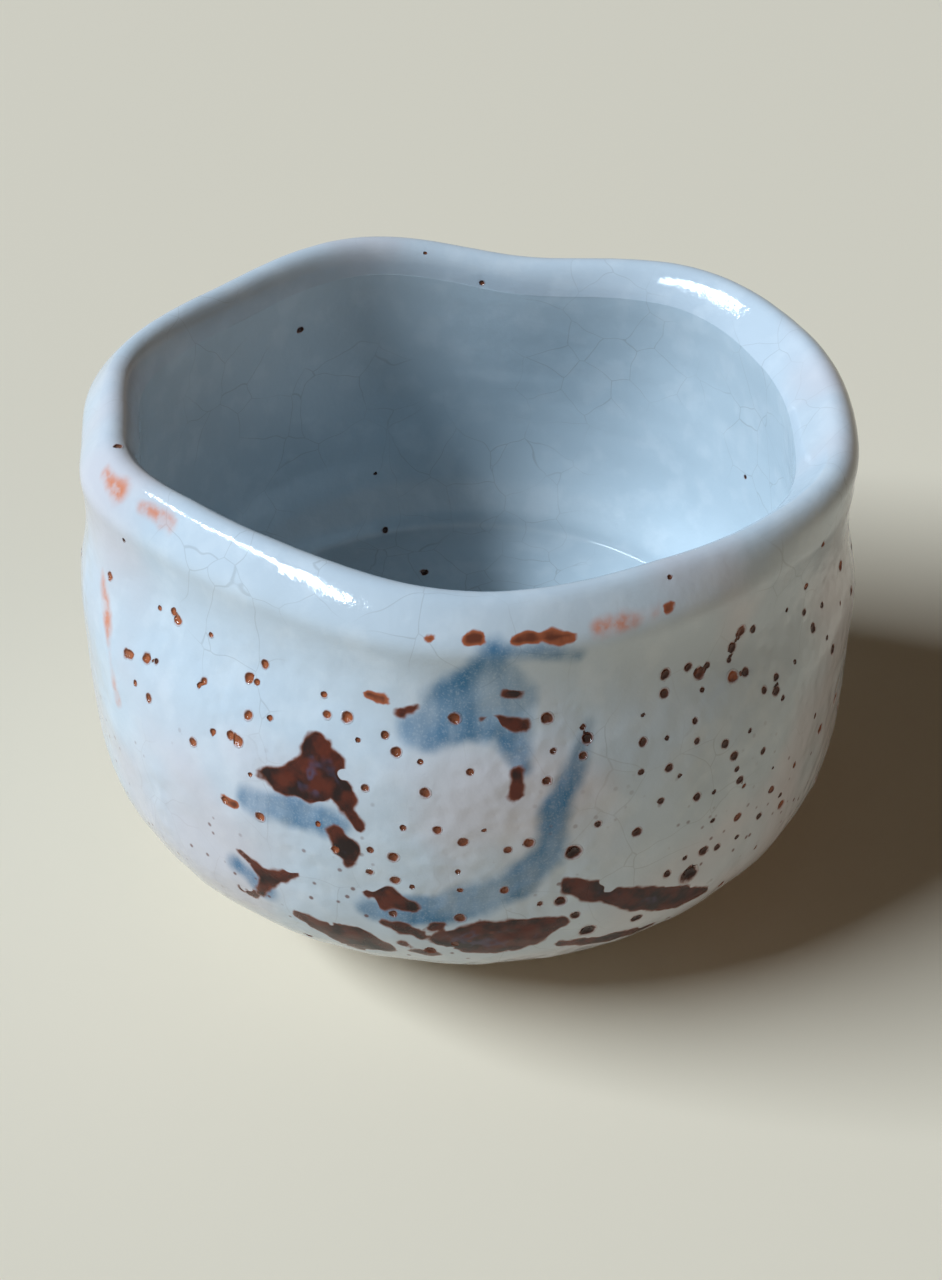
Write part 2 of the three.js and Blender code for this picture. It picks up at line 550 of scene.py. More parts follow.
class Graph:
    """Short ways to add nodes to a tree and to link them."""

    def __init__(self, tree: bpy.types.NodeTree) -> None:
        """Takes the tree to add to."""
        self.tree = tree

    @classmethod
    def of_material(cls, name: str) -> tuple[bpy.types.Material, "Graph"]:
        """Starts a material.

        Args:
            name: the material's name.

        Returns:
            The material and its empty graph.
        """
        made = bpy.data.materials.new(name)
        made.use_nodes = True
        made.node_tree.nodes.clear()
        return made, cls(made.node_tree)

    def add(self, kind: str, inputs: dict | None = None, **settings: object) -> bpy.types.Node:
        """Adds a node.

        Args:
            kind: the node's type name.
            inputs: values or sockets by input name or number.
            settings: the node's own settings.

        Returns:
            The node.
        """
        node = self.tree.nodes.new(kind)
        for name, value in settings.items():
            setattr(node, name, value)
        for key, value in (inputs or {}).items():
            if isinstance(value, Socket):
                self.tree.links.new(value, node.inputs[key])
            else:
                node.inputs[key].default_value = value
        return node

    def math(self, operation: str, first: object, second: object = 0.0) -> Socket:
        """Works out a sum of two values or sockets."""
        return self.add("ShaderNodeMath", {0: first, 1: second}, operation=operation).outputs[0]

    def product(self, first: object, *others: object) -> Socket:
        """Multiplies values or sockets.

        Args:
            first: the first of them.
            others: the rest.

        Returns:
            The product.
        """
        result = first
        for other in others:
            result = self.math("MULTIPLY", result, other)
        return result

    def vector(self, operation: str, inputs: dict, result: str = "Vector") -> Socket:
        """Works out a sum of vectors and gives the named result."""
        return self.add("ShaderNodeVectorMath", inputs, operation=operation).outputs[result]

    def fade(self, value: Socket, change: Fade) -> Socket:
        """Maps a value through a fade and holds it past the ends."""
        inputs = dict(enumerate((value, *change)))
        return self.add("ShaderNodeMapRange", inputs, interpolation_type="SMOOTHSTEP").outputs[0]

    def mix(self, share: Socket, first: object, second: object) -> Socket:
        """Mixes a share of a second colour into a first, by the node's colour sockets."""
        inputs = {0: share, 6: first, 7: second}
        return self.add("ShaderNodeMix", inputs, data_type="RGBA").outputs[2]

    def noise(self, where: Socket, scale: float, detail: float) -> Socket:
        """Makes a cloudy pattern, about 0.5 on average."""
        inputs = {"Vector": where, "Scale": scale, "Detail": detail}
        return self.add("ShaderNodeTexNoise", inputs).outputs[0]

    def patches(self, where: Socket, cut: Patches) -> Socket:
        """Makes a cloudy pattern and cuts it to patches.

        Args:
            where: the coordinates.
            cut: the pattern.

        Returns:
            How strong the patches are.
        """
        if cut.squash != 1.0:
            where = self.vector("MULTIPLY", {0: where, 1: (1.0, 1.0, cut.squash)})
        return self.fade(self.noise(where, cut.scale, cut.detail), cut.fade)

    def strayed(self, where: Socket, value: Socket, *rags: Rag) -> Socket:
        """Makes a value stray to both sides.

        Args:
            where: the coordinates.
            value: the value.
            rags: how far and how finely it strays.

        Returns:
            The strayed value.
        """
        for rag in rags:
            sway = self.math("SUBTRACT", self.noise(where, rag.scale, rag.detail), 0.5)
            value = self.math("ADD", value, self.math("MULTIPLY", sway, rag.reach))
        return value

    def height(self, where: Socket) -> Socket:
        """Reads the height from the coordinates."""
        return self.add("ShaderNodeSeparateXYZ", {0: where}).outputs["Z"]

    def attribute(self, name: str, result: str = "Fac") -> Socket:
        """Reads a mesh attribute in a shader."""
        return self.add("ShaderNodeAttribute", attribute_name=name).outputs[result]

    def bump(self, height: Socket, strength: float, depth: float, normal: Socket | None = None) -> Socket:
        """Bends a normal by a height.

        Args:
            height: the height.
            strength: how strongly it bends.
            depth: how deep a height of one is, in millimetres.
            normal: the normal so far, if it was bent before.

        Returns:
            The bent normal.
        """
        inputs = {"Strength": strength, "Distance": depth * MM, "Height": height}
        if normal is not None:
            inputs["Normal"] = normal
        return self.add("ShaderNodeBump", inputs).outputs[0]

    def surface(self, inputs: dict) -> None:
        """Ends a material's graph in a shader with the given inputs."""
        shader = self.add("ShaderNodeBsdfPrincipled", inputs)
        self.add("ShaderNodeOutputMaterial", {"Surface": shader.outputs[0]})


IRON_EDGE: Colour = (0.22, 0.056, 0.022, 1.0)
RUST_DARK: Colour = (0.125, 0.028, 0.012, 1.0)
RUST_BRIGHT: Colour = (0.37, 0.098, 0.040, 1.0)


@dataclass(frozen=True)
class Crackle:
    """The fine cracks of the cooled glaze, in bent cells and broken off in places."""

    line: Colour = (0.31, 0.325, 0.333, 1.0)
    bend_scale: float = 90.0
    bend_detail: float = 2.0
    bend: float = 0.005
    cell_scale: float = 105.0
    width: Fade = Fade(0.002, 0.011, 1.0, 0.0)
    breaks: Patches = Patches(45.0, 1.0, Fade(0.42, 0.6, 0.0, 0.36))

    def laid(self, graph: Graph, where: Socket, below: Socket) -> Socket:
        """Draws the cracks.

        Args:
            graph: the material's graph.
            where: the coordinates.
            below: the colour so far.

        Returns:
            The colour with cracks.
        """
        swaying = {"Vector": where, "Scale": self.bend_scale, "Detail": self.bend_detail}
        sway = graph.add("ShaderNodeTexNoise", swaying).outputs[1]
        bent = graph.vector("ADD", {0: where, 1: graph.vector("SCALE", {0: sway, "Scale": self.bend})})
        cells = {"Vector": bent, "Scale": self.cell_scale}
        edges = graph.add("ShaderNodeTexVoronoi", cells, feature="DISTANCE_TO_EDGE").outputs["Distance"]
        share = graph.product(graph.fade(edges, self.width), graph.patches(where, self.breaks))
        return graph.mix(share, below, self.line)


@dataclass(frozen=True)
class Freckles:
    """Fine iron specks strewn in patches over the lower wall."""

    speck: Colour = RUST_DARK
    cell_scale: float = 400.0
    size: Fade = Fade(0.08, 0.20, 0.8, 0.0)
    spread: Patches = Patches(75.0, 2.0, Fade(0.46, 0.57, 0.0, 1.0))
    heights: Fade = Fade(0.030, 0.062, 1.0, 0.0)

    def laid(self, graph: Graph, where: Socket, below: Socket) -> Socket:
        """Strews the specks.

        Args:
            graph: the material's graph.
            where: the coordinates.
            below: the colour so far.

        Returns:
            The colour with specks.
        """
        cells = {"Vector": where, "Scale": self.cell_scale}
        middles = graph.add("ShaderNodeTexVoronoi", cells, feature="F1").outputs["Distance"]
        low = graph.fade(graph.height(where), self.heights)
        share = graph.product(graph.fade(middles, self.size), graph.patches(where, self.spread), low)
        return graph.mix(share, below, self.speck)


class Tint(NamedTuple):
    """A further colour in a paint, by patches, by the distance from the paint's edge, or by both."""

    colour: Colour
    patches: Patches | None = None
    depth: Fade | None = None


@dataclass(frozen=True)
class Paint:
    """A colour over the white glaze, everywhere or along its strokes. Colours are linear.

    Attributes:
        colour: its main colour.
        thinning: patches that thin it.
        pigment: the strokes that it follows, if any.
        rags: how their edges stray, in millimetres.
        gaps: patches that draw their edges in, in millimetres.
        cover: how it covers, by the distance from the edge in millimetres.
        tints: its further colours.
    """

    colour: Colour
    thinning: tuple[Patches, ...] = ()
    pigment: Pigment | None = None
    rags: tuple[Rag, ...] = ()
    gaps: tuple[Patches, ...] = ()
    cover: Fade = Fade(0.0, 1.0, 1.0, 0.0)
    tints: tuple[Tint, ...] = ()

    def laid(self, graph: Graph, where: Socket, below: Socket) -> Socket:
        """Lays the paint on.

        Args:
            graph: the material's graph.
            where: the coordinates.
            below: the colour so far.

        Returns:
            The colour with the paint.
        """
        shares = [graph.patches(where, cut) for cut in self.thinning]
        colour = self.colour
        if self.pigment is not None:
            far = graph.strayed(where, graph.attribute(self.pigment.value), *self.rags)
            for cut in self.gaps:
                far = graph.math("ADD", far, graph.patches(where, cut))
            shares.insert(0, graph.fade(far, self.cover))
            for tint in self.tints:
                parts = [graph.patches(where, tint.patches)] if tint.patches else []
                parts += [graph.fade(far, tint.depth)] if tint.depth else []
                colour = graph.mix(graph.product(*parts), colour, tint.colour)
        return graph.mix(graph.product(*shares), below, colour)


FLUSH_SPREAD = Patches(30.0, 2.0, Fade(0.46, 0.68, 0.0, 0.55))
BLUSH_MOTTLING = Patches(420.0, 4.0, Fade(0.38, 0.60, 0.4, 1.0))
WASH_STREAKS = Patches(300.0, 5.0, Fade(0.30, 0.70, 1.0, 0.66), squash=0.3)
WASH_FLECKS = Patches(3000.0, 2.0, Fade(0.48, 0.75, 1.0, 0.76))
WASH_POOLS = Patches(85.0, 1.0, Fade(0.42, 0.68, 1.0, 0.68))
IRON_GAPS = Patches(260.0, 1.0, Fade(0.60, 0.75, 0.0, 2.0))
IRON_CLOUDS = Patches(300.0, 4.0, Fade(0.36, 0.66, 0.0, 1.0))
# Painted sheen: bluish-purple patches deep inside the iron marks, a gleam of light on the glossy iron put
# into the colour.
IRON_PAINTED_SHEEN = Patches(260.0, 2.0, Fade(0.51, 0.67, 0.0, 0.8))
IRON_SHEEN_DEPTH = Fade(-2.4, -1.0, 1.0, 0.0)

FLUSH = Paint((0.61, 0.52, 0.52, 1.0), thinning=(FLUSH_SPREAD,))
BLUSH = Paint(
    (0.62, 0.21, 0.11, 1.0),
    thinning=(BLUSH_MOTTLING,),
    pigment=Pigment.BLUSH,
    rags=(Rag(160.0, 2.0, 4.0),),
    cover=Fade(-1.2, 1.4, 1.0, 0.0),
)
COBALT_WASH = Paint(
    (0.028, 0.140, 0.265, 1.0),
    thinning=(WASH_STREAKS, WASH_FLECKS, WASH_POOLS),
    pigment=Pigment.COBALT,
    rags=(Rag(160.0, 2.0, 3.4),),
    cover=Fade(-1.2, 1.2, 1.0, 0.0),
)
DARK_IRON = Paint(
    (0.015, 0.0052, 0.005, 1.0),
    pigment=Pigment.IRON,
    rags=(Rag(380.0, 1.5, 1.9), Rag(160.0, 2.0, 1.6)),
    gaps=(IRON_GAPS,),
    cover=Fade(-0.25, 0.35, 1.0, 0.0),
    tints=(
        Tint((0.098, 0.017, 0.008, 1.0), patches=IRON_CLOUDS),
        # Painted sheen: a bluish-purple gleam painted into the colour, in patches deep inside the marks.
        Tint((0.076, 0.056, 0.097, 1.0), patches=IRON_PAINTED_SHEEN, depth=IRON_SHEEN_DEPTH),
        Tint(IRON_EDGE, depth=Fade(-0.45, 0.15, 0.0, 0.9)),
    ),
)
RUST = Paint(
    RUST_DARK,
    pigment=Pigment.RUST,
    rags=(Rag(380.0, 1.5, 2.0),),
    cover=Fade(-0.15, 0.2, 1.0, 0.0),
    tints=(Tint(RUST_BRIGHT, depth=Fade(-0.7, 0.0, 0.0, 1.0)),),
)


@dataclass(frozen=True)
class PitFinish:
    """The colours of the firing pits, by the distance from a pit's middle in its radii."""

    dark: Colour = (0.036, 0.013, 0.009, 1.0)
    orange: Colour = (0.37, 0.098, 0.035, 1.0)
    edge: Colour = IRON_EDGE
    halo: Colour = RUST_BRIGHT
    rag: Rag = Rag(750.0, 2.0, 1.0)
    no_pit: Fade = Fade(1.35, 1.75, 0.0, 4.0)
    halo_width: Fade = Fade(0.9, 1.6, 0.45, 0.0)
    edge_width: Fade = Fade(0.6, 1.1, 0.0, 0.55)
    cover: Fade = Fade(0.85, 1.2, 1.0, 0.0)

    def ratio(self, graph: Graph, where: Socket) -> Socket:
        """Measures how far a spot is from the middle of its nearest pit.

        Args:
            graph: the material's graph.
            where: the coordinates.

        Returns:
            The distance in radii of that pit, a little ragged, and large where no pit is near.
        """
        middle = graph.attribute("pit_middle", "Vector")
        apart = graph.vector("DISTANCE", {0: where, 1: middle}, "Value")
        exact = graph.math("DIVIDE", apart, graph.attribute("pit_radius"))
        away = graph.fade(graph.attribute("pit_ratio"), self.no_pit)
        return graph.strayed(where, graph.math("ADD", exact, away), self.rag)

    def laid(self, graph: Graph, ratio: Socket, colour: Socket) -> Socket:
        """Colours the pits.

        Args:
            graph: the material's graph.
            ratio: the distance from the nearest pit, in its radii.
            colour: the colour so far.

        Returns:
            The colour with pits.
        """
        tone = graph.mix(graph.attribute("pit_tone"), self.dark, self.orange)
        colour = graph.mix(graph.fade(ratio, self.halo_width), colour, self.halo)
        tone = graph.mix(graph.fade(ratio, self.edge_width), tone, self.edge)
        return graph.mix(graph.fade(ratio, self.cover), colour, tone)


@dataclass(frozen=True)
class GlazeRelief:
    """Relief too fine for the mesh: crisp pits, soft dimples on the wall and the skin of the glaze."""

    pit_strength: float = 0.9
    pit_depth: float = 0.35
    pit_hollow: Fade = Fade(0.3, 1.1, 1.0, 0.0)
    rim_rise: Fade = Fade(0.8, 1.2, 0.0, 1.0)
    rim_fall: Fade = Fade(1.2, 1.7, 1.0, 0.0)
    rim_share: float = 0.3
    dimple_strength: float = 0.5
    dimple_depth: float = 0.35
    dimple_scale: float = 420.0
    dimple_smoothness: float = 0.6
    dimple_heights: Fade = Fade(0.062, 0.074, 1.0, 0.05)
    dimple_spread: Patches = Patches(50.0, 2.0, Fade(0.42, 0.62, 0.1, 1.0))
    skin_strength: float = 0.07
    skin_depth: float = 0.5
    skin_detail: float = 2.0
    swell_scale: float = 260.0
    swell_share: float = 0.35
    grain_scale: float = 900.0

    def bent(self, graph: Graph, where: Socket, ratio: Socket, dimpled: bool) -> Socket:
        """Bends the light over the glaze.

        Args:
            graph: the material's graph.
            where: the coordinates.
            ratio: the distance from the nearest pit, in its radii.
            dimpled: whether the wall has soft dimples.

        Returns:
            The bent normal.
        """
        cuts = (self.rim_rise, self.rim_fall, self.pit_hollow)
        rise, fall, hollow = (graph.fade(ratio, cut) for cut in cuts)
        pits = graph.math("SUBTRACT", graph.product(rise, fall, self.rim_share), hollow)
        normal = graph.bump(pits, self.pit_strength, self.pit_depth)
        if dimpled:
            cells = {"Vector": where, "Scale": self.dimple_scale, "Smoothness": self.dimple_smoothness}
            middles = graph.add("ShaderNodeTexVoronoi", cells, feature="SMOOTH_F1").outputs["Distance"]
            wall = graph.fade(graph.height(where), self.dimple_heights)
            dimples = graph.product(middles, wall, graph.patches(where, self.dimple_spread))
            normal = graph.bump(dimples, self.dimple_strength, self.dimple_depth, normal)
        swell = graph.noise(where, self.swell_scale, self.skin_detail)
        grain = graph.noise(where, self.grain_scale, self.skin_detail)
        skin = graph.math("ADD", graph.math("MULTIPLY", swell, self.swell_share), grain)
        return graph.bump(skin, self.skin_strength, self.skin_depth, normal)


@dataclass(frozen=True)
class GlazeFinish:
    """The thick white glaze, cloudy with bubbles, under its crackle, paints and pits. Colours are linear."""

    name: str
    white: Colour = (0.52, 0.575, 0.625, 1.0)
    cloudy: Colour = (0.491, 0.548, 0.599, 1.0)
    froth: Colour = (0.61, 0.65, 0.685, 1.0)
    clouds: Patches = Patches(55.0, 3.0, Fade(0.35, 0.65, 0.0, 1.0))
    bubbles: Patches = Patches(170.0, 5.0, Fade(0.46, 0.68, 0.0, 0.45))
    crackle: Crackle = Crackle()
    paints: tuple[Paint | Freckles, ...] = ()
    pits: PitFinish = PitFinish()
    relief: GlazeRelief = GlazeRelief()
    roughness: Patches = Patches(120.0, 2.0, Fade(0.3, 0.7, 0.063, 0.135))
    iron_roughness: Fade = Fade(-0.6, 0.3, 0.2, 0.0)
    gloss: float = 0.30

    def material(self) -> bpy.types.Material:
        """Makes the material.

        Returns:
            The material.
        """
        made, graph = Graph.of_material(self.name)
        where = graph.add("ShaderNodeTexCoord").outputs["Object"]
        colour = graph.mix(graph.patches(where, self.clouds), self.white, self.cloudy)
        colour = graph.mix(graph.patches(where, self.bubbles), colour, self.froth)
        for paint in (self.crackle, *self.paints):
            colour = paint.laid(graph, where, colour)
        ratio = self.pits.ratio(graph, where)
        rough = graph.patches(where, self.roughness)
        if self.paints:
            dull = graph.fade(graph.attribute(Pigment.IRON.value), self.iron_roughness)
            rough = graph.math("ADD", rough, dull)
        graph.surface(
            {
                "Base Color": self.pits.laid(graph, ratio, colour),
                "Roughness": rough,
                "Normal": self.relief.bent(graph, where, ratio, dimpled=bool(self.paints)),
                "Specular IOR Level": self.gloss,
            }
        )
        return made


@dataclass(frozen=True)
class ClayFinish:
    """Bare fired stoneware, with turning marks and iron specks. Colours are linear."""

    name: str = "bare_stoneware"
    buff: Colour = (0.46, 0.33, 0.22, 1.0)
    toasted: Colour = (0.40, 0.20, 0.10, 1.0)
    speck: Colour = (0.07, 0.04, 0.03, 1.0)
    toasting: Patches = Patches(70.0, 4.0, Fade(0.38, 0.66, 0.0, 1.0))
    specks: Patches = Patches(900.0, 1.0, Fade(0.66, 0.70, 0.0, 0.8))
    flat: tuple[float, float, float] = (1.0, 1.0, 0.0)
    ring_waves: float = 4200.0
    ring_share: float = 0.25
    grain_scale: float = 1500.0
    grain_detail: float = 4.0
    grain_strength: float = 0.5
    grain_depth: float = 0.3
    roughness: Fade = Fade(0.3, 0.7, 0.72, 0.92)

    def material(self) -> bpy.types.Material:
        """Makes the material.

        Returns:
            The material.
        """
        made, graph = Graph.of_material(self.name)
        where = graph.add("ShaderNodeTexCoord").outputs["Object"]
        colour = graph.mix(graph.patches(where, self.toasting), self.buff, self.toasted)
        colour = graph.mix(graph.patches(where, self.specks), colour, self.speck)
        around = graph.vector("MULTIPLY", {0: where, 1: self.flat})
        radius = graph.vector("LENGTH", {0: around}, "Value")
        rings = graph.math("SINE", graph.math("MULTIPLY", radius, self.ring_waves))
        grain = graph.noise(where, self.grain_scale, self.grain_detail)
        height = graph.math("ADD", graph.math("MULTIPLY", rings, self.ring_share), grain)
        graph.surface(
            {
                "Base Color": colour,
                "Roughness": graph.fade(grain, self.roughness),
                "Normal": graph.bump(height, self.grain_strength, self.grain_depth),
            }
        )
        return made


def photo(*pixels: Point) -> tuple[PhotoPlace, ...]:
    """Names pixels as places."""
    return tuple(PhotoPlace(x, y) for x, y in pixels)


def stroke(*dabs: tuple[float, float, float]) -> Stroke:
    """Makes a stroke from pixels of the photo, with half its width in millimetres at each."""
    return tuple(Dab(PhotoPlace(x, y), width) for x, y, width in dabs)


def far_stroke(*dabs: tuple[float, float, float]) -> Stroke:
    """Makes a stroke on a side not shown, from bearings, heights and half widths."""
    return tuple(Dab(BowlPlace(bearing, tall), width) for bearing, tall, width in dabs)


STROKES: dict[Pigment, dict[str, Stroke]] = {
    Pigment.COBALT: {
        "wash wedge, left": stroke((497, 652, 1.6), (480, 685, 3.4), (448, 716, 4.6), (425, 728, 3.4)),
        "wash wedge, right": stroke((500, 662, 2.2), (508, 700, 3.6), (516, 735, 2.6), (522, 768, 1.4)),
        "wash wedge, middle": stroke((497, 680, 3.4), (484, 712, 4.2), (470, 722, 3.0)),
        "wash fall": stroke((590, 722, 0.6), (572, 772, 1.6), (556, 805, 2.0), (548, 850, 2.4)),
        "wash sweep": stroke((548, 850, 2.4), (515, 885, 3.0), (440, 912, 3.2), (372, 908, 2.4)),
        "wash tail, left": stroke((250, 800, 2.2), (300, 812, 2.6), (335, 826, 2.0)),
        "wash touch, low left": stroke((240, 866, 2.0), (265, 890, 1.8)),
        "wash top, right": stroke((500, 655, 1.6), (540, 652, 1.3), (577, 656, 0.8)),
        "wash wedge, back": far_stroke((66, 64, 1.2), (72, 57, 3.2), (80, 50, 4.4), (88, 47, 2.6)),
        "wash wedge, back edge": far_stroke((66, 62, 1.6), (63, 54, 3.2), (60, 46, 2.2), (58, 41, 0.8)),
        "wash fall, back": far_stroke((46, 52, 0.6), (50, 42, 1.6), (54, 34, 2.0), (60, 26, 2.4)),
        "wash sweep, back": far_stroke((60, 26, 2.4), (72, 21, 3.0), (92, 18, 2.8), (112, 19, 1.6)),
        "wash tail, back": far_stroke((122, 33, 2.0), (132, 31, 2.4), (140, 28, 1.6)),
    },
    Pigment.IRON: {
        "patch, crown": stroke((317, 750, 2.6), (321, 768, 3.9), (312, 783, 3.4)),
        "patch, left arm": stroke((312, 783, 3.2), (286, 780, 2.4), (262, 775, 1)),
        "patch, right arm": stroke((328, 770, 2.8), (340, 792, 2.2), (346, 806, 1.2)),
        "thread": stroke((346, 806, 0.8), (360, 828, 0.7)),
        "drop": stroke((338, 833, 1.4), (346, 848, 2.1), (349, 860, 1.1)),
        "fork": stroke((240, 851, 0.6), (254, 866, 1), (268, 879, 1.7), (297, 874, 0.7)),
        "fork, foot": stroke((266, 880, 1.4), (261, 892, 0.8)),
        "sweep, low left": stroke((297, 914, 0.7), (318, 925, 2.2), (350, 937, 4), (384, 947, 1.8)),
        "slip, low": stroke((368, 893, 1.2), (384, 897, 2.4), (412, 907, 0.8)),
        "sweep, low": stroke((444, 938, 2.2), (482, 940, 4.6), (528, 934, 3.6), (560, 922, 1.2)),
        "splash, low": stroke((384, 922, 0.7), (402, 928, 1.4), (424, 936, 0.7)),
        "splash, haunch left": stroke((302, 935, 0.7), (310, 940, 0.8)),
        "splash, haunch": stroke((404, 943, 1.0), (410, 947, 0.9)),
        "splash, haunch middle": stroke((434, 928, 1.1), (442, 926, 0.9)),
        "splash, under the fork": stroke((242, 888, 0.9), (252, 893, 0.8)),
        "splash, foot": stroke((412, 950, 0.8), (432, 953, 1.4)),
        "splash, low right": stroke((560, 944, 0.9), (610, 938, 1.8), (648, 926, 1.0)),
        "block, right": stroke((574, 886, 2), (598, 891, 2.2)),
        "lens, right": stroke((602, 893, 1.4), (640, 899, 2.8), (680, 898, 2.6), (706, 890, 0.8)),
        "drop, middle": stroke((517, 770, 1.0), (516, 794, 1.3)),
        "dash, wash": stroke((480, 720, 0.5), (505, 721, 0.6), (523, 727, 1.2)),
        "dash, wash top": stroke((508, 694, 0.8), (517, 694, 0.7)),
        "dash, wash left": stroke((402, 711, 0.8), (418, 706, 0.8)),
        "patch, back": far_stroke((126, 40, 2.0), (132, 36, 3.2), (139, 34, 2.0)),
        "tail, back": far_stroke((132, 36, 1.6), (133, 29, 1.0)),
        "sweep, back low": far_stroke((60, 15, 0.8), (72, 13, 1.8), (86, 13.5, 1.2)),
        "sweep, back haunch": far_stroke((100, 14, 0.8), (112, 12.5, 2.6), (126, 13.5, 1.4)),
        "drop, back": far_stroke((128, 24, 1.2), (127, 21, 2.0), (126, 19, 1.0)),
        "dash, back": far_stroke((69, 50, 0.6), (75, 49.5, 1.0), (80, 48, 0.5)),
        "lens, back": far_stroke((24, 20, 0.8), (34, 18, 2.2), (44, 18.5, 1.0)),
    },
    Pigment.RUST: {
        "line on the ledge": stroke((513, 640, 0.7), (545, 636, 1.0), (575, 637, 0.6)),
        "dot, ledge": stroke((470, 637, 0.9), (479, 637, 1.0)),
        "dot, ledge left": stroke((429, 639, 0.6), (432, 639, 0.6)),
        "dot, ledge right": stroke((666, 609, 0.8), (671, 605, 0.9)),
        "dash, left of the wash": stroke((367, 694, 0.6), (384, 700, 0.8)),
        "spot, left": stroke((224, 797, 0.7), (234, 803, 0.7)),
        "line, back ledge": far_stroke((92, 76.5, 0.5), (99, 77, 0.9), (104, 77, 0.5)),
    },
    Pigment.BLUSH: {
        "left lip": stroke((106, 474, 0.8), (119, 491, 1.5)),
        "left lip, low": stroke((142, 507, 0.8), (172, 524, 1.0)),
        "left wall": stroke((103, 572, 0.1), (109, 645, 0.4), (118, 700, 0.1)),
        "right ledge": stroke((600, 628, 0.2), (655, 612, 0.8)),
        "back ledge": far_stroke((36, 77, 0.4), (48, 77, 0.9), (56, 76.5, 0.3)),
    },
}

PITS = {
    "right shoulder": PitGroup(
        radius=0.55,
        tone=0.12,
        places=photo(
            (787, 610), (804, 612), (813, 628), (827, 638), (753, 629), (732, 647), (729, 660), (688, 667),
            (665, 674), (707, 665), (745, 672), (795, 662), (776, 677), (664, 693), (702, 690), (764, 690),
            (776, 691), (783, 698),
        ),
    ),
    "right wall": PitGroup(
        radius=0.5,
        tone=0.10,
        places=photo(
            (643, 715), (695, 721), (643, 742), (667, 738), (697, 741), (725, 744), (750, 731), (763, 751),
            (734, 756), (737, 769), (740, 780), (773, 768), (641, 772), (669, 768), (680, 776), (661, 801),
            (697, 797), (714, 792), (598, 824), (637, 832), (780, 795), (759, 816),
        ),
    ),
    "right haunch": PitGroup(
        radius=0.62,
        tone=0.08,
        places=photo(
            (737, 837), (717, 847), (703, 851), (685, 858), (667, 874), (560, 901), (668, 918), (575, 915),
        ),
    ),
    "large, dark": PitGroup(
        radius=1.15,
        tone=0.0,
        places=photo((587, 738), (573, 852), (688, 874), (636, 918), (587, 930)),
    ),
    "by the wash": PitGroup(
        radius=0.62,
        tone=0.2,
        places=photo((583, 727), (583, 756), (547, 718), (553, 751), (547, 781)),
    ),
    "middle": PitGroup(
        radius=0.55,
        tone=0.45,
        places=photo(
            (358, 740), (385, 735), (396, 752), (420, 762), (365, 788), (425, 793), (403, 828), (437, 830),
            (393, 857), (370, 850), (463, 842), (484, 830), (370, 872), (395, 880), (458, 872), (508, 850),
            (529, 843), (460, 890), (504, 890), (455, 718), (470, 772),
        ),
    ),
    "low middle": PitGroup(
        radius=0.62,
        tone=0.3,
        places=photo((412, 887), (393, 914), (460, 918), (540, 904), (308, 935), (430, 950), (455, 944)),
    ),
    "left wall": PitGroup(
        radius=0.58,
        tone=0.85,
        places=photo(
            (199, 686), (204, 681), (248, 715), (270, 718), (327, 715), (347, 717), (324, 695), (231, 735),
            (238, 741), (213, 732), (193, 742), (250, 775), (225, 800), (260, 817), (318, 824), (335, 850),
            (250, 678), (257, 682), (265, 664),
        ),
    ),
    "left shoulder": PitGroup(
        radius=0.6,
        tone=1.0,
        places=photo(
            (160, 608), (174, 612), (178, 620), (211, 635), (131, 655), (147, 658), (135, 683), (110, 576),
        ),
    ),
    "lip": PitGroup(
        radius=0.5,
        tone=0.3,
        places=photo((425, 253), (482, 283), (118, 446), (670, 577)),
    ),
    "inside": PitGroup(
        radius=0.6,
        tone=0.05,
        places=photo((375, 473), (385, 530), (424, 572), (745, 477), (300, 330)),
    ),
}


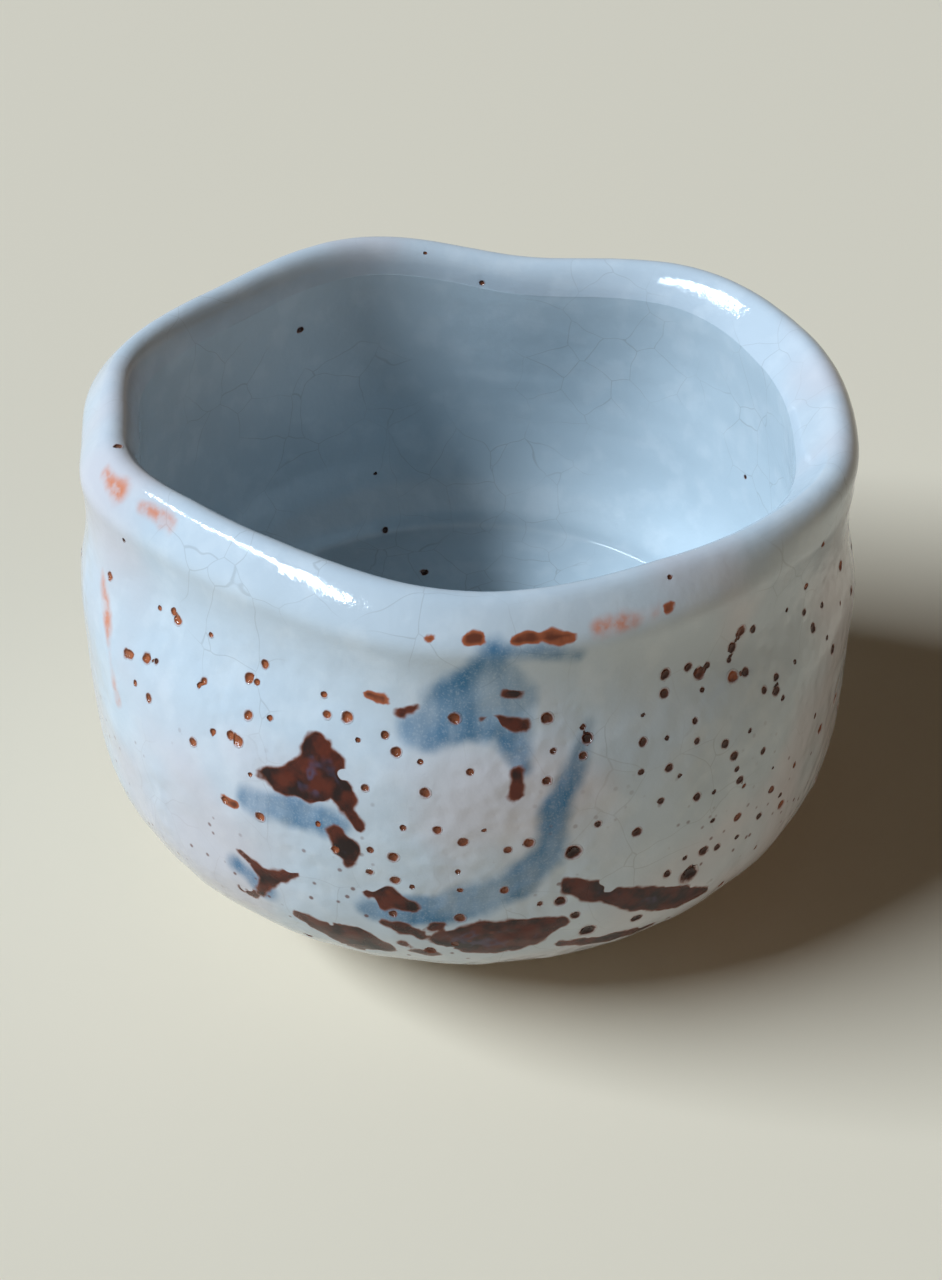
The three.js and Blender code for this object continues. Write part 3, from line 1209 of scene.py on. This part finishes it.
@dataclass(frozen=True)
class PitRelief:
    """Pits pressed into a glaze by Geometry Nodes: placed ones, and scattered ones between them.

    Attributes:
        seed: seed of the scatter and its sizes.
        tone_seed: seed of the scattered pits' tones.
        spacing: least distance between scattered pits in millimetres.
        density: most scattered pits to a square metre.
        gathering: where scattered pits gather.
        least_radius: least radius of a scattered pit in millimetres.
        most_radius: largest radius of a scattered pit in millimetres.
        most_tone: tone of the most orange scattered pit.
        depth: depth of a pit as a share of its radius.
        rim: height of its raised edge as a share of its radius.
        hollow: how its depth fades, by the distance from its middle in radii.
        rim_rise: how its edge rises.
        rim_fall: how its edge falls.
        farthest: the largest distance that is kept, in radii.
    """

    seed: int = 7
    tone_seed: int = 3
    spacing: float = 5.5
    density: float = 90000.0
    gathering: Patches = Patches(60.0, 1.0, Fade(0.4, 0.65, 0.05, 1.0))
    least_radius: float = 0.35
    most_radius: float = 0.95
    most_tone: float = 0.8
    depth: float = 0.3
    rim: float = 0.1
    hollow: Fade = Fade(0.35, 1.05, 1.0, 0.0)
    rim_rise: Fade = Fade(0.8, 1.2, 0.0, 1.0)
    rim_fall: Fade = Fade(1.2, 1.8, 1.0, 0.0)
    farthest: float = 4.0

    def inputs(self, placed: bpy.types.Object) -> dict[str, tuple[str, object]]:
        """Lists the group's inputs.

        Args:
            placed: the placed pits as a mesh of loose points.

        Returns:
            The kind and value of each input by its name.
        """
        return {
            "Placed pits": ("NodeSocketObject", placed),
            "Seed": ("NodeSocketInt", self.seed),
            "Spacing": ("NodeSocketFloat", self.spacing * MM),
            "Least radius": ("NodeSocketFloat", self.least_radius * MM),
            "Most radius": ("NodeSocketFloat", self.most_radius * MM),
            "Depth": ("NodeSocketFloat", self.depth),
            "Rim": ("NodeSocketFloat", self.rim),
        }

    def group(self, kinds: dict[str, str], material: bpy.types.Material) -> bpy.types.NodeTree:
        """Makes the node group.

        Args:
            kinds: the kinds of its inputs by name.
            material: the glaze that the result gets.

        Returns:
            The node group.
        """
        tree = bpy.data.node_groups.new("firing_pits", "GeometryNodeTree")
        for name, kind in (("Geometry", "NodeSocketGeometry"), *kinds.items()):
            tree.interface.new_socket(name, in_out="INPUT", socket_type=kind)
        tree.interface.new_socket("Geometry", in_out="OUTPUT", socket_type="NodeSocketGeometry")
        graph = Graph(tree)
        given = graph.add("NodeGroupInput").outputs
        shaped = self._pressed(graph, given, self._pits(graph, given))
        real = graph.add("GeometryNodeRealizeInstances", {"Geometry": shaped}).outputs[0]
        glazed = graph.add("GeometryNodeSetMaterial", {"Geometry": real, "Material": material}).outputs[0]
        graph.add("NodeGroupOutput", {"Geometry": glazed})
        return tree

    def _pits(self, graph: Graph, given: bpy.types.bpy_prop_collection) -> Socket:
        """Joins the placed and the scattered pits.

        Args:
            graph: the group's graph.
            given: the group's inputs.

        Returns:
            The pits as points with a radius and a tone.
        """
        placed = graph.add("GeometryNodeObjectInfo", {"Object": given["Placed pits"]}).outputs["Geometry"]
        known = graph.add("GeometryNodeMeshToPoints", {"Mesh": placed}).outputs[0]
        here = graph.add("GeometryNodeInputPosition").outputs[0]
        share = graph.product(self._named(graph, "scatter"), graph.patches(here, self.gathering))
        scattering = {
            "Mesh": given["Geometry"],
            "Distance Min": given["Spacing"],
            "Density Max": self.density,
            "Density Factor": share,
            "Seed": given["Seed"],
        }
        spread = graph.add("GeometryNodeDistributePointsOnFaces", scattering, distribute_method="POISSON")
        scatter = spread.outputs["Points"]
        # Inputs 2 and 3 and output 1 of a random value are its sockets for single numbers.
        radii = {2: given["Least radius"], 3: given["Most radius"], "Seed": given["Seed"]}
        tones = {2: 0.0, 3: self.most_tone, "Seed": self.tone_seed}
        for name, inputs in (("pit_radius", radii), ("pit_tone", tones)):
            value = graph.add("FunctionNodeRandomValue", inputs, data_type="FLOAT").outputs[1]
            scatter = self._stored(graph, scatter, name, value)
        joined = graph.add("GeometryNodeJoinGeometry")
        for points in (known, scatter):
            graph.tree.links.new(points, joined.inputs[0])
        return joined.outputs[0]

    def _pressed(self, graph: Graph, given: bpy.types.bpy_prop_collection, pits: Socket) -> Socket:
        """Presses each pit into the glaze and keeps what its colour needs.

        Args:
            graph: the group's graph.
            given: the group's inputs.
            pits: the pits.

        Returns:
            The pressed glaze.
        """
        here = graph.add("GeometryNodeInputPosition").outputs[0]
        nearest = graph.add("GeometryNodeSampleNearest", {"Geometry": pits}, domain="POINT").outputs[0]
        middle = self._sampled(graph, pits, nearest, here, "FLOAT_VECTOR")
        radius = self._sampled(graph, pits, nearest, self._named(graph, "pit_radius"))
        tone = self._sampled(graph, pits, nearest, self._named(graph, "pit_tone"))
        ratio = graph.math("DIVIDE", graph.vector("DISTANCE", {0: here, 1: middle}, "Value"), radius)
        cuts = (self.rim_rise, self.rim_fall, self.hollow)
        rise, fall, hollow = (graph.fade(ratio, cut) for cut in cuts)
        sunk = graph.math("MULTIPLY", hollow, given["Depth"])
        profile = graph.math("SUBTRACT", graph.product(rise, fall, given["Rim"]), sunk)
        deep = graph.product(profile, radius, self._named(graph, "free"))
        normal = graph.add("GeometryNodeInputNormal").outputs[0]
        move = graph.vector("SCALE", {0: normal, "Scale": deep})
        near = graph.math("MINIMUM", ratio, self.farthest)
        kept = {"pit_ratio": near, "pit_tone": tone, "pit_radius": radius}
        shape = given["Geometry"]
        for name, value in kept.items():
            shape = self._stored(graph, shape, name, value)
        shape = self._stored(graph, shape, "pit_middle", middle, "FLOAT_VECTOR")
        return graph.add("GeometryNodeSetPosition", {"Geometry": shape, "Offset": move}).outputs[0]

    @staticmethod
    def _named(graph: Graph, name: str) -> Socket:
        """Reads an attribute."""
        return graph.add("GeometryNodeInputNamedAttribute", {"Name": name}, data_type="FLOAT").outputs[0]

    @staticmethod
    def _stored(graph: Graph, shape: Socket, name: str, value: Socket, kind: str = "FLOAT") -> Socket:
        """Stores an attribute on the points of a shape."""
        inputs = {"Geometry": shape, "Name": name, "Value": value}
        return graph.add("GeometryNodeStoreNamedAttribute", inputs, data_type=kind, domain="POINT").outputs[0]

    @staticmethod
    def _sampled(graph: Graph, pits: Socket, index: Socket, value: Socket, kind: str = "FLOAT") -> Socket:
        """Reads a value at one pit."""
        inputs = {"Geometry": pits, "Value": value, "Index": index}
        return graph.add("GeometryNodeSampleIndex", inputs, data_type=kind, domain="POINT").outputs[0]

    def press(self, piece: bpy.types.Object, placed: bpy.types.Object, material: bpy.types.Material) -> None:
        """Runs the group on a piece and keeps its result as the piece's mesh.

        Args:
            piece: the glaze piece.
            placed: the placed pits as a mesh of loose points.
            material: the glaze.
        """
        inputs = self.inputs(placed)
        tree = self.group({name: kind for name, (kind, _) in inputs.items()}, material)
        modifier = piece.modifiers.new("firing_pits", "NODES")
        modifier.node_group = tree
        for item in tree.interface.items_tree:
            if item.in_out == "INPUT" and item.name in inputs:
                modifier[item.identifier] = inputs[item.name][1]
        bpy.context.view_layer.update()
        shown = piece.evaluated_get(bpy.context.evaluated_depsgraph_get())
        made = bpy.data.meshes.new_from_object(shown)
        piece.modifiers.clear()
        before = piece.data
        piece.data = made
        made.name = piece.name
        bpy.data.meshes.remove(before)
        bpy.data.node_groups.remove(tree)


def joined_rows(rows: int, bearings: int, closed: bool) -> list[tuple[int, int, int, int]]:
    """Lists the quads between rows of points that go round.

    Args:
        rows: how many rows there are.
        bearings: how many points each row has.
        closed: whether the last row joins the first.

    Returns:
        The quads, facing out where the rows go up the outside.
    """
    quads: list[tuple[int, int, int, int]] = []
    for row in range(rows if closed else rows - 1):
        low = row * bearings
        high = ((row + 1) % rows) * bearings
        for here in range(bearings):
            after = (here + 1) % bearings
            quads.append((low + here, low + after, high + after, high + here))
    return quads


def points_of(mesh: bpy.types.Mesh) -> np.ndarray:
    """Reads the points of a mesh.

    Args:
        mesh: the mesh.

    Returns:
        The points in metres.
    """
    flat = np.empty(len(mesh.vertices) * 3, np.float32)
    mesh.vertices.foreach_get("co", flat)
    return flat.reshape(-1, 3).astype(float)


def store(mesh: bpy.types.Mesh, name: str, values: Sequence[float] | np.ndarray) -> None:
    """Stores a number for each point of a mesh."""
    made = mesh.attributes.new(name, "FLOAT", "POINT")
    made.data.foreach_set("value", np.asarray(values, np.float32))


@dataclass(kw_only=True)
class TurnedPiece:
    """A closed piece turned from a section and pressed with the bowl.

    Attributes:
        name: the piece's name.
        node: the CAD node that it stands for.
        slot: its material slot.
        form: the bowl's sections.
        detail: how finely it is cut.
    """

    name: str
    node: str
    slot: str
    form: BowlForm
    detail: Detail

    def mesh_from(self, points: np.ndarray, closed: bool, flat_rows: Sequence[int] = ()) -> bpy.types.Object:
        """Makes the mesh of rows that go round, with a fan on each row that lies on the axis.

        Args:
            points: rows by bearings by three, in millimetres.
            closed: whether the last row joins the first.
            flat_rows: rows whose faces to the next row are flat, with sharp edges.

        Returns:
            The object, smooth shaded.
        """
        rows, bearings, _ = points.shape
        places = points.reshape(-1, 3)
        faces: list[tuple[int, ...]] = []
        skipped = 0
        if not closed:
            skipped = 1
            rows -= 2
            places = np.concatenate([points[1:-1].reshape(-1, 3), points[[0, -1], 0]])
            low = rows * bearings
            top = low - bearings
            for here in range(bearings):
                after = (here + 1) % bearings
                faces.append((low, after, here))
                faces.append((top + here, top + after, low + 1))
        fans = len(faces)
        faces.extend(joined_rows(rows, bearings, closed))
        mesh = bpy.data.meshes.new(self.name)
        mesh.from_pydata((places * MM).tolist(), [], faces)
        mesh.update()
        mesh.polygons.foreach_set("use_smooth", [True] * len(mesh.polygons))
        for row in flat_rows:
            first = fans + (row - skipped) * bearings
            for face in mesh.polygons[first : first + bearings]:
                face.use_smooth = False
                for corner in face.loop_indices:
                    mesh.edges[mesh.loops[corner].edge_index].use_edge_sharp = True
        piece = bpy.data.objects.new(self.name, mesh)
        bpy.context.scene.collection.objects.link(piece)
        return piece

    def register(self, piece: bpy.types.Object) -> None:
        """Parents the finished piece to the empty of the body root and hides the CAD part that it stands for.

        Args:
            piece: the finished piece.
        """
        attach(piece, BODY)
        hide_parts(self.node)


@dataclass(kw_only=True)
class BarePiece(TurnedPiece):
    """A piece of bare clay."""

    slot: str = "stoneware"
    clay: bpy.types.Material

    def dress(self, piece: bpy.types.Object) -> None:
        """Gives the built piece its finish."""
        piece.data.materials.append(self.clay)


@dataclass(kw_only=True)
class ClayBody(BarePiece):
    """The thrown and pressed clay, seen bare only round the foot."""

    name: str = "bare_body"
    node: str = "clay_body"

    def build(self) -> bpy.types.Object:
        """Builds the piece.

        Returns:
            The object.
        """
        curves = (*self.form.underside(), *self.form.outside(), *self.form.inside())
        rows = section(curves, self.detail.clay_spacing).points
        points = self.form.turned(rows, self.detail.clay_bearings)
        return self.mesh_from(points, closed=False)


@dataclass(kw_only=True)
class FootRing(BarePiece):
    """The luted foot, bare all round."""

    name: str = "bare_foot"
    node: str = "foot_ring"

    def build(self) -> bpy.types.Object:
        """Builds the piece.

        Returns:
            The object.
        """
        rows = section(self.form.foot(), self.detail.clay_spacing).points[:-1]
        points = self.form.turned(rows, self.detail.clay_bearings)
        return self.mesh_from(points, closed=True)


@dataclass
class Decoration:
    """Finds where the marks and pits lie on the glaze.

    Attributes:
        camera: the camera that took the photo.
        coats: the coats of glaze.
        outside: how far from the axis a line to the far sides starts, in metres.
        far_off: the largest distance from a stroke that is kept, in millimetres.
        least_pit: least size of a placed pit as a share of its group's.
        pit_spread: how much larger its largest is.
        pit_sizes: how many sizes a group has.
        pit_step: step between the sizes of neighbours.
        trees: the coats' faces, prepared for lines of sight.
    """

    camera: PhotoCamera
    coats: tuple[bpy.types.Object, ...]
    outside: float = 0.2
    far_off: float = 30.0
    least_pit: float = 0.65
    pit_spread: float = 0.75
    pit_sizes: int = 11
    pit_step: int = 37
    trees: list[BVHTree] = field(default_factory=list, init=False)

    def __post_init__(self) -> None:
        """Prepares the coats for lines of sight."""
        for coat in self.coats:
            corners = [vertex.co.copy() for vertex in coat.data.vertices]
            faces = [tuple(face.vertices) for face in coat.data.polygons]
            self.trees.append(BVHTree.FromPolygons(corners, faces))

    def find(self, place: Place) -> tuple[int, Vector] | None:
        """Finds a place on the coats.

        Args:
            place: the place.

        Returns:
            Which coat it is on and where, in metres, or nothing if it misses.
        """
        if isinstance(place, PhotoPlace):
            start, way = self.camera.ray(place)
            start = start * MM
        else:
            angle = math.radians(place.bearing)
            way = Vector((-math.cos(angle), -math.sin(angle), 0.0))
            start = -way * self.outside + Vector((0.0, 0.0, place.height * MM))
        best: tuple[float, int, Vector] | None = None
        for number, tree in enumerate(self.trees):
            hit, _, _, far = tree.ray_cast(start, way)
            if hit is not None and (best is None or far < best[0]):
                best = (far, number, hit)
        return None if best is None else (best[1], best[2])

    def pits_on(self, coat: bpy.types.Object) -> bpy.types.Object:
        """Gathers the placed pits of one coat.

        Args:
            coat: the coat.

        Returns:
            A mesh of loose points with a radius and a tone each.
        """
        number = self.coats.index(coat)
        places: list[Vector] = []
        radii: list[float] = []
        tones: list[float] = []
        for group in PITS.values():
            for index, place in enumerate(group.places):
                found = self.find(place)
                if found is not None and found[0] == number:
                    step = (index * self.pit_step) % self.pit_sizes / (self.pit_sizes - 1)
                    places.append(found[1])
                    radii.append(group.radius * (self.least_pit + self.pit_spread * step) * MM)
                    tones.append(group.tone)
        mesh = bpy.data.meshes.new("placed_pits")
        mesh.from_pydata([tuple(place) for place in places], [], [])
        store(mesh, "pit_radius", radii)
        store(mesh, "pit_tone", tones)
        pits = bpy.data.objects.new("placed_pits", mesh)
        bpy.context.scene.collection.objects.link(pits)
        return pits

    def distances(self, points: np.ndarray, pigment: Pigment) -> np.ndarray:
        """Measures how far points are from the strokes of a pigment.

        Args:
            points: the points in metres.
            pigment: the pigment.

        Returns:
            The distance outside the nearest stroke's edge in millimetres, below zero inside it.
        """
        least = np.full(len(points), self.far_off)
        for mark in STROKES[pigment].values():
            path = [(self.find(dab.place), dab.half_width) for dab in mark]
            known = [(np.array(found[1]), width) for found, width in path if found is not None]
            for (start, wide), (end, narrow) in zip(known, known[1:]):
                along = end - start
                share = np.clip((points - start) @ along / (along @ along), 0.0, 1.0)
                far = np.linalg.norm(points - start - share[:, None] * along, axis=1) / MM
                least = np.minimum(least, far - (wide + share * (narrow - wide)))
        return least


@dataclass(kw_only=True)
class GlazeCoat(TurnedPiece):
    """A coat of glaze: a fine free face, uneven as it melted, and a plain face on the clay.

    Attributes:
        finish: its finish.
        ripple: height of its broad waves in millimetres.
        ripple_scale: how close they are.
        orange_peel: height of its fine waves in millimetres.
        peel_scale: how close they are.
        calm_heights: between which heights the waves calm down, in millimetres.
        calm_share: how much of them is left above that.
        relief: the pits pressed into it.
        pit_fields: where pits are scattered.
        pit_heights: between which heights they are scattered, in millimetres.
    """

    slot: str = "white_glaze"
    finish: GlazeFinish
    ripple: float
    ripple_scale: float
    orange_peel: float
    peel_scale: float = 0.32
    calm_heights: Span = (64.0, 74.0)
    calm_share: float = 0.3
    relief: PitRelief = PitRelief()
    pit_fields: tuple[PitField, ...] = ()
    pit_heights: Span = (9.0, 74.0)

    def uneven(self, points: np.ndarray, facing: np.ndarray) -> np.ndarray:
        """Moves a free face in and out as molten glaze lies.

        Args:
            points: rows by bearings by three, in millimetres.
            facing: (radius, height) directions of the rows.

        Returns:
            The moved points.
        """
        rows, bearings, _ = points.shape
        angles = bearings_of(bearings)
        flat = points.reshape(-1, 3)
        wide = np.array([noise.noise(Vector(point) * self.ripple_scale) for point in flat])
        fine = np.array([noise.noise(Vector(point) * self.peel_scale) for point in flat])
        calm = np.interp(flat[:, 2], self.calm_heights, (1.0, self.calm_share))
        far = ((wide * self.ripple + fine * self.orange_peel) * calm).reshape(rows, bearings, 1)
        across = facing[:, 0:1]
        rise = np.repeat(facing[:, 1:2], bearings, axis=1)
        return points + np.stack([across * np.cos(angles), across * np.sin(angles), rise], axis=2) * far

    def scatter_share(self, points: np.ndarray) -> np.ndarray:
        """Finds how densely pits are scattered.

        Args:
            points: points of the coat in metres.

        Returns:
            The share of the full density at each point.
        """
        bearing = np.degrees(np.arctan2(points[:, 1], points[:, 0]))
        height = points[:, 2] / MM
        share = np.zeros(len(points))
        for area in self.pit_fields:
            share[(bearing - area.start) % CIRCLE < area.end - area.start] = area.share
        lowest, highest = self.pit_heights
        return share * (height > lowest) * (height < highest)

    def dress(self, piece: bpy.types.Object, decoration: Decoration) -> None:
        """Paints the coat and presses its pits.

        Args:
            piece: the built coat.
            decoration: the marks and pits of the whole bowl.
        """
        points = points_of(piece.data)
        free = np.empty(len(points), np.float32)
        piece.data.attributes["free"].data.foreach_get("value", free)
        store(piece.data, "scatter", self.scatter_share(points) * free)
        if self.finish.paints:
            for pigment in Pigment:
                store(piece.data, pigment.value, decoration.distances(points, pigment))
        placed = decoration.pits_on(piece)
        self.relief.press(piece, placed, self.finish.material())
        loose = placed.data
        bpy.data.objects.remove(placed)
        bpy.data.meshes.remove(loose)


@dataclass(kw_only=True)
class OuterGlaze(GlazeCoat):
    """The dipped coat: from the glaze line, where it gathers in a bead, up the wall and over the lip.

    Attributes:
        line_wander: how far the glaze line is drawn up at most, in millimetres.
        wander_reach: how far up the haunch that is felt, in millimetres.
        wander_middle: the middling share of it.
        wander_waves: the waves along the line.
        wander_plane: height at which the waves are cut from their pattern.
        edge_start: how full the coat is at its very edge.
    """

    name: str = "dipped_glaze"
    node: str = "outer_glaze"
    finish: GlazeFinish = GlazeFinish(
        "dipped_white_glaze",
        paints=(FLUSH, BLUSH, COBALT_WASH, DARK_IRON, RUST, Freckles()),
    )
    ripple: float = 0.23
    ripple_scale: float = 0.11
    orange_peel: float = 0.10
    pit_fields: tuple[PitField, ...] = (
        PitField(5.0, 172.0, 1.0),
        PitField(172.0, 225.0, 0.4),
        PitField(300.0, 365.0, 0.9),
    )
    line_wander: float = 2.2
    wander_reach: float = 14.0
    wander_middle: float = 0.5
    wander_waves: tuple[Wave, ...] = (Wave(0.35, 1.7), Wave(0.2, 5.0))
    wander_plane: float = 0.3
    edge_start: float = 0.02

    def wandering(self, points: np.ndarray, far: np.ndarray) -> np.ndarray:
        """Draws the glaze line up the haunch by an uneven amount, as dipped glaze stops.

        Args:
            points: rows by bearings by three, in millimetres.
            far: the length along the section to each row.

        Returns:
            The moved points.
        """
        bearings = points.shape[1]
        angles = bearings_of(bearings)
        around = [Vector((math.cos(angle), math.sin(angle), self.wander_plane)) for angle in angles]
        drawn = np.full(bearings, self.wander_middle)
        for wave in self.wander_waves:
            drawn += wave.size * np.array([noise.noise(place * wave.closeness) for place in around])
        fade = np.clip(1.0 - far / self.wander_reach, 0.0, 1.0) ** 2
        reach = far[:, None] + self.line_wander * drawn.clip(0.0, 1.0) * fade[:, None]
        moved = np.empty_like(points)
        for here in range(bearings):
            for axis in range(3):
                moved[:, here, axis] = np.interp(reach[:, here], far, points[:, here, axis])
        return moved

    def build(self) -> bpy.types.Object:
        """Builds the coat before its pits.

        Returns:
            The object, with an attribute that marks its free face.
        """
        size = self.form.sizes
        fine = section(self.form.outside(), self.detail.spacing, self.detail.softening)
        plain = section(self.form.outside(), self.detail.hidden_spacing)
        far = fine.lengths()
        bead = (size.glaze_bead - size.glaze) * np.exp(-((far / size.bead_reach) ** 2))
        round_edge = 1.0 - (1.0 - far / size.glaze_bead).clip(0.0, 1.0) ** 2
        edge = np.sqrt(np.clip(round_edge, self.edge_start, 1.0))
        free = fine.moved(size.bond + (size.glaze + bead) * edge)
        back = plain.moved(size.bond)[::-1]
        turned = self.form.turned(free, self.detail.bearings)
        top = self.uneven(self.wandering(turned, far), fine.facing)
        under = self.form.turned(back, self.detail.bearings)
        ends = (len(top) - 1, len(top) + len(under) - 1)
        piece = self.mesh_from(np.concatenate([top, under]), closed=True, flat_rows=ends)
        shown = np.concatenate([np.ones(top.shape[:2]).ravel(), np.zeros(under.shape[:2]).ravel()])
        store(piece.data, "free", shown)
        return piece


@dataclass(kw_only=True)
class InnerGlaze(GlazeCoat):
    """The poured coat: from the inner shoulder of the lip down to the tea pool, over faint throwing rings.

    Attributes:
        ring_height: height of the throwing rings in millimetres.
        ring_pitch: distance between them in millimetres.
        ring_start: length over which they begin under the lip, in millimetres.
        ring_end: length over which they end towards the middle, in millimetres.
        coarseness: how much coarser it is cut than the outer coat along a section.
        bearing_share: how many points go round, as a share of the outer coat's.
    """

    name: str = "poured_glaze"
    node: str = "inner_glaze"
    finish: GlazeFinish = GlazeFinish(
        "poured_white_glaze",
        white=(0.508, 0.578, 0.622, 1.0),
        cloudy=(0.48, 0.551, 0.596, 1.0),
        froth=(0.60, 0.65, 0.684, 1.0),
        crackle=Crackle(breaks=Patches(45.0, 1.0, Fade(0.42, 0.6, 0.0, 0.42))),
    )
    ripple: float = 0.10
    ripple_scale: float = 0.07
    orange_peel: float = 0.02
    ring_height: float = 0.02
    ring_pitch: float = 6.5
    ring_start: float = 12.0
    ring_end: float = 30.0
    coarseness: float = 1.15
    bearing_share: float = 0.8

    def build(self) -> bpy.types.Object:
        """Builds the coat before its pits.

        Returns:
            The object, with an attribute that marks its free face.
        """
        size = self.form.sizes
        spacing = self.detail.spacing * self.coarseness
        fine = section(self.form.inside(), spacing, self.detail.softening)
        plain = section(self.form.inside(), self.detail.hidden_spacing)
        far = fine.lengths()
        left = far[-1] - far
        fade = np.clip(far / self.ring_start, 0.0, 1.0) * np.clip(left / self.ring_end, 0.0, 1.0)
        rings = self.ring_height * np.sin(far / self.ring_pitch * TURN) * fade
        free = fine.moved(size.bond + size.glaze + rings)
        back = plain.moved(size.bond)[::-1]
        bearings = round(self.detail.bearings * self.bearing_share)
        top = self.uneven(self.form.turned(free, bearings), fine.facing)
        under = self.form.turned(back, bearings)
        piece = self.mesh_from(np.concatenate([under, top]), closed=False, flat_rows=(len(under) - 1,))
        hidden = np.zeros((len(under) - 1) * bearings)
        shown = np.ones((len(top) - 1) * bearings)
        store(piece.data, "free", np.concatenate([hidden, shown, [0.0, 1.0]]))
        return piece


@dataclass(frozen=True)
class Lamp:
    """A flat lamp that faces the bowl.

    Attributes:
        name: its name.
        bearing: where it stands round the bowl, in degrees.
        rise: how high it stands over the bowl, in degrees.
        distance: how far away it is, in metres.
        width: its width in metres.
        height: its height in metres.
        power: its power in watts.
        colour: its colour.
        mirrored: whether it shows in the glaze as a highlight.
    """

    name: str
    bearing: float
    rise: float
    distance: float
    width: float
    height: float
    power: float
    colour: tuple[float, float, float]
    mirrored: bool

    def build(self, aim: Vector) -> None:
        """Adds the lamp to the scene.

        Args:
            aim: where it points, in metres.
        """
        data = bpy.data.lights.new(self.name, "AREA")
        data.shape = "RECTANGLE"
        data.size = self.width
        data.size_y = self.height
        data.energy = self.power
        data.color = self.colour
        turn = math.radians(self.bearing)
        rise = math.radians(self.rise)
        flat = math.cos(rise)
        away = Vector((flat * math.cos(turn), flat * math.sin(turn), math.sin(rise)))
        made = bpy.data.objects.new(self.name, data)
        made.visible_glossy = self.mirrored
        made.location = aim + away * self.distance
        made.rotation_euler = (aim - made.location).to_track_quat("-Z", "Y").to_euler()
        bpy.context.scene.collection.objects.link(made)


@dataclass
class Studio:
    """A pale floor under soft light from a window-like lamp on the left and a weak warm one on the right."""

    floor_size: float = 6.0
    floor_colour: Colour = (0.79, 0.67, 0.52, 1.0)
    floor_roughness: float = 0.85
    floor_gloss: float = 0.2
    sky_colour: Colour = (1.0, 0.90, 0.74, 1.0)
    sky_strength: float = 0.03
    wall_colour: Colour = (0.50, 0.47, 0.42, 1.0)
    window: Lamp = Lamp(
        name="window_lamp",
        bearing=190.0,
        rise=41.0,
        distance=20.0,
        width=13.3,
        height=1.67,
        power=6390.0,
        colour=(0.72, 0.865, 1.0),
        mirrored=True,
    )
    fill: Lamp = Lamp(
        name="fill_lamp",
        bearing=335.0,
        rise=14.0,
        distance=12.0,
        width=9.6,
        height=4.1,
        power=150.0,
        colour=(1.0, 0.74, 0.46),
        mirrored=False,
    )
    aim: tuple[float, float, float] = (0.0, 0.0, 0.05)

    def build(self) -> None:
        """Adds the floor, the sky and the lamps."""
        self._floor()
        self._sky()
        for lamp in (self.window, self.fill):
            lamp.build(Vector(self.aim))

    def _floor(self) -> None:
        """Adds the floor."""
        half = self.floor_size / 2.0
        mesh = bpy.data.meshes.new("floor")
        corners = [(-half, -half, 0.0), (half, -half, 0.0), (half, half, 0.0), (-half, half, 0.0)]
        mesh.from_pydata(corners, [], [(0, 1, 2, 3)])
        floor = bpy.data.objects.new("floor", mesh)
        bpy.context.scene.collection.objects.link(floor)
        made, graph = Graph.of_material("pale_floor")
        graph.surface(
            {
                "Base Color": self.floor_colour,
                "Roughness": self.floor_roughness,
                "Specular IOR Level": self.floor_gloss,
            }
        )
        mesh.materials.append(made)

    def _sky(self) -> None:
        """Sets the even light all round, and the pale wall that shows past the floor and in the glaze."""
        world = bpy.data.worlds.new("soft_room")
        world.use_nodes = True
        world.node_tree.nodes.clear()
        graph = Graph(world.node_tree)
        light = graph.add("ShaderNodeBackground", {"Color": self.sky_colour, "Strength": self.sky_strength})
        wall = graph.add("ShaderNodeBackground", {"Color": self.wall_colour, "Strength": 1.0})
        path = graph.add("ShaderNodeLightPath").outputs
        mirrored = graph.math("MAXIMUM", path["Is Glossy Ray"], path["Is Transmission Ray"])
        share = graph.math("MAXIMUM", path["Is Camera Ray"], mirrored)
        shown = graph.add("ShaderNodeMixShader", {0: share, 1: light.outputs[0], 2: wall.outputs[0]})
        graph.add("ShaderNodeOutputWorld", {"Surface": shown.outputs[0]})
        bpy.context.scene.world = world


def main() -> None:
    """Builds the bowl, its finishes and the studio."""
    logging.basicConfig(level=logging.INFO, format="%(message)s")
    detail = Detail()
    low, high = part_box("foot_ring")
    form = BowlForm(axis=tuple((low[side] + high[side]) / 2.0 / MM for side in range(2)))
    camera = PhotoCamera()
    camera.build()
    Studio().build()
    bpy.context.scene.view_settings.view_transform = "Standard"

    outer = OuterGlaze(form=form, detail=detail)
    inner = InnerGlaze(form=form, detail=detail)
    coats = (outer.build(), inner.build())
    decoration = Decoration(camera, coats)
    for maker, piece in zip((outer, inner), coats):
        maker.dress(piece, decoration)
    clay = ClayFinish().material()
    bare = (ClayBody(form=form, detail=detail, clay=clay), FootRing(form=form, detail=detail, clay=clay))
    clays = tuple(maker.build() for maker in bare)
    for maker, piece in zip(bare, clays):
        maker.dress(piece)
    for maker, piece in zip((*bare, outer, inner), (*clays, *coats)):
        maker.register(piece)
        LOG.info("%s: %d faces", piece.name, len(piece.data.polygons))


if __name__ == "__main__":
    main()
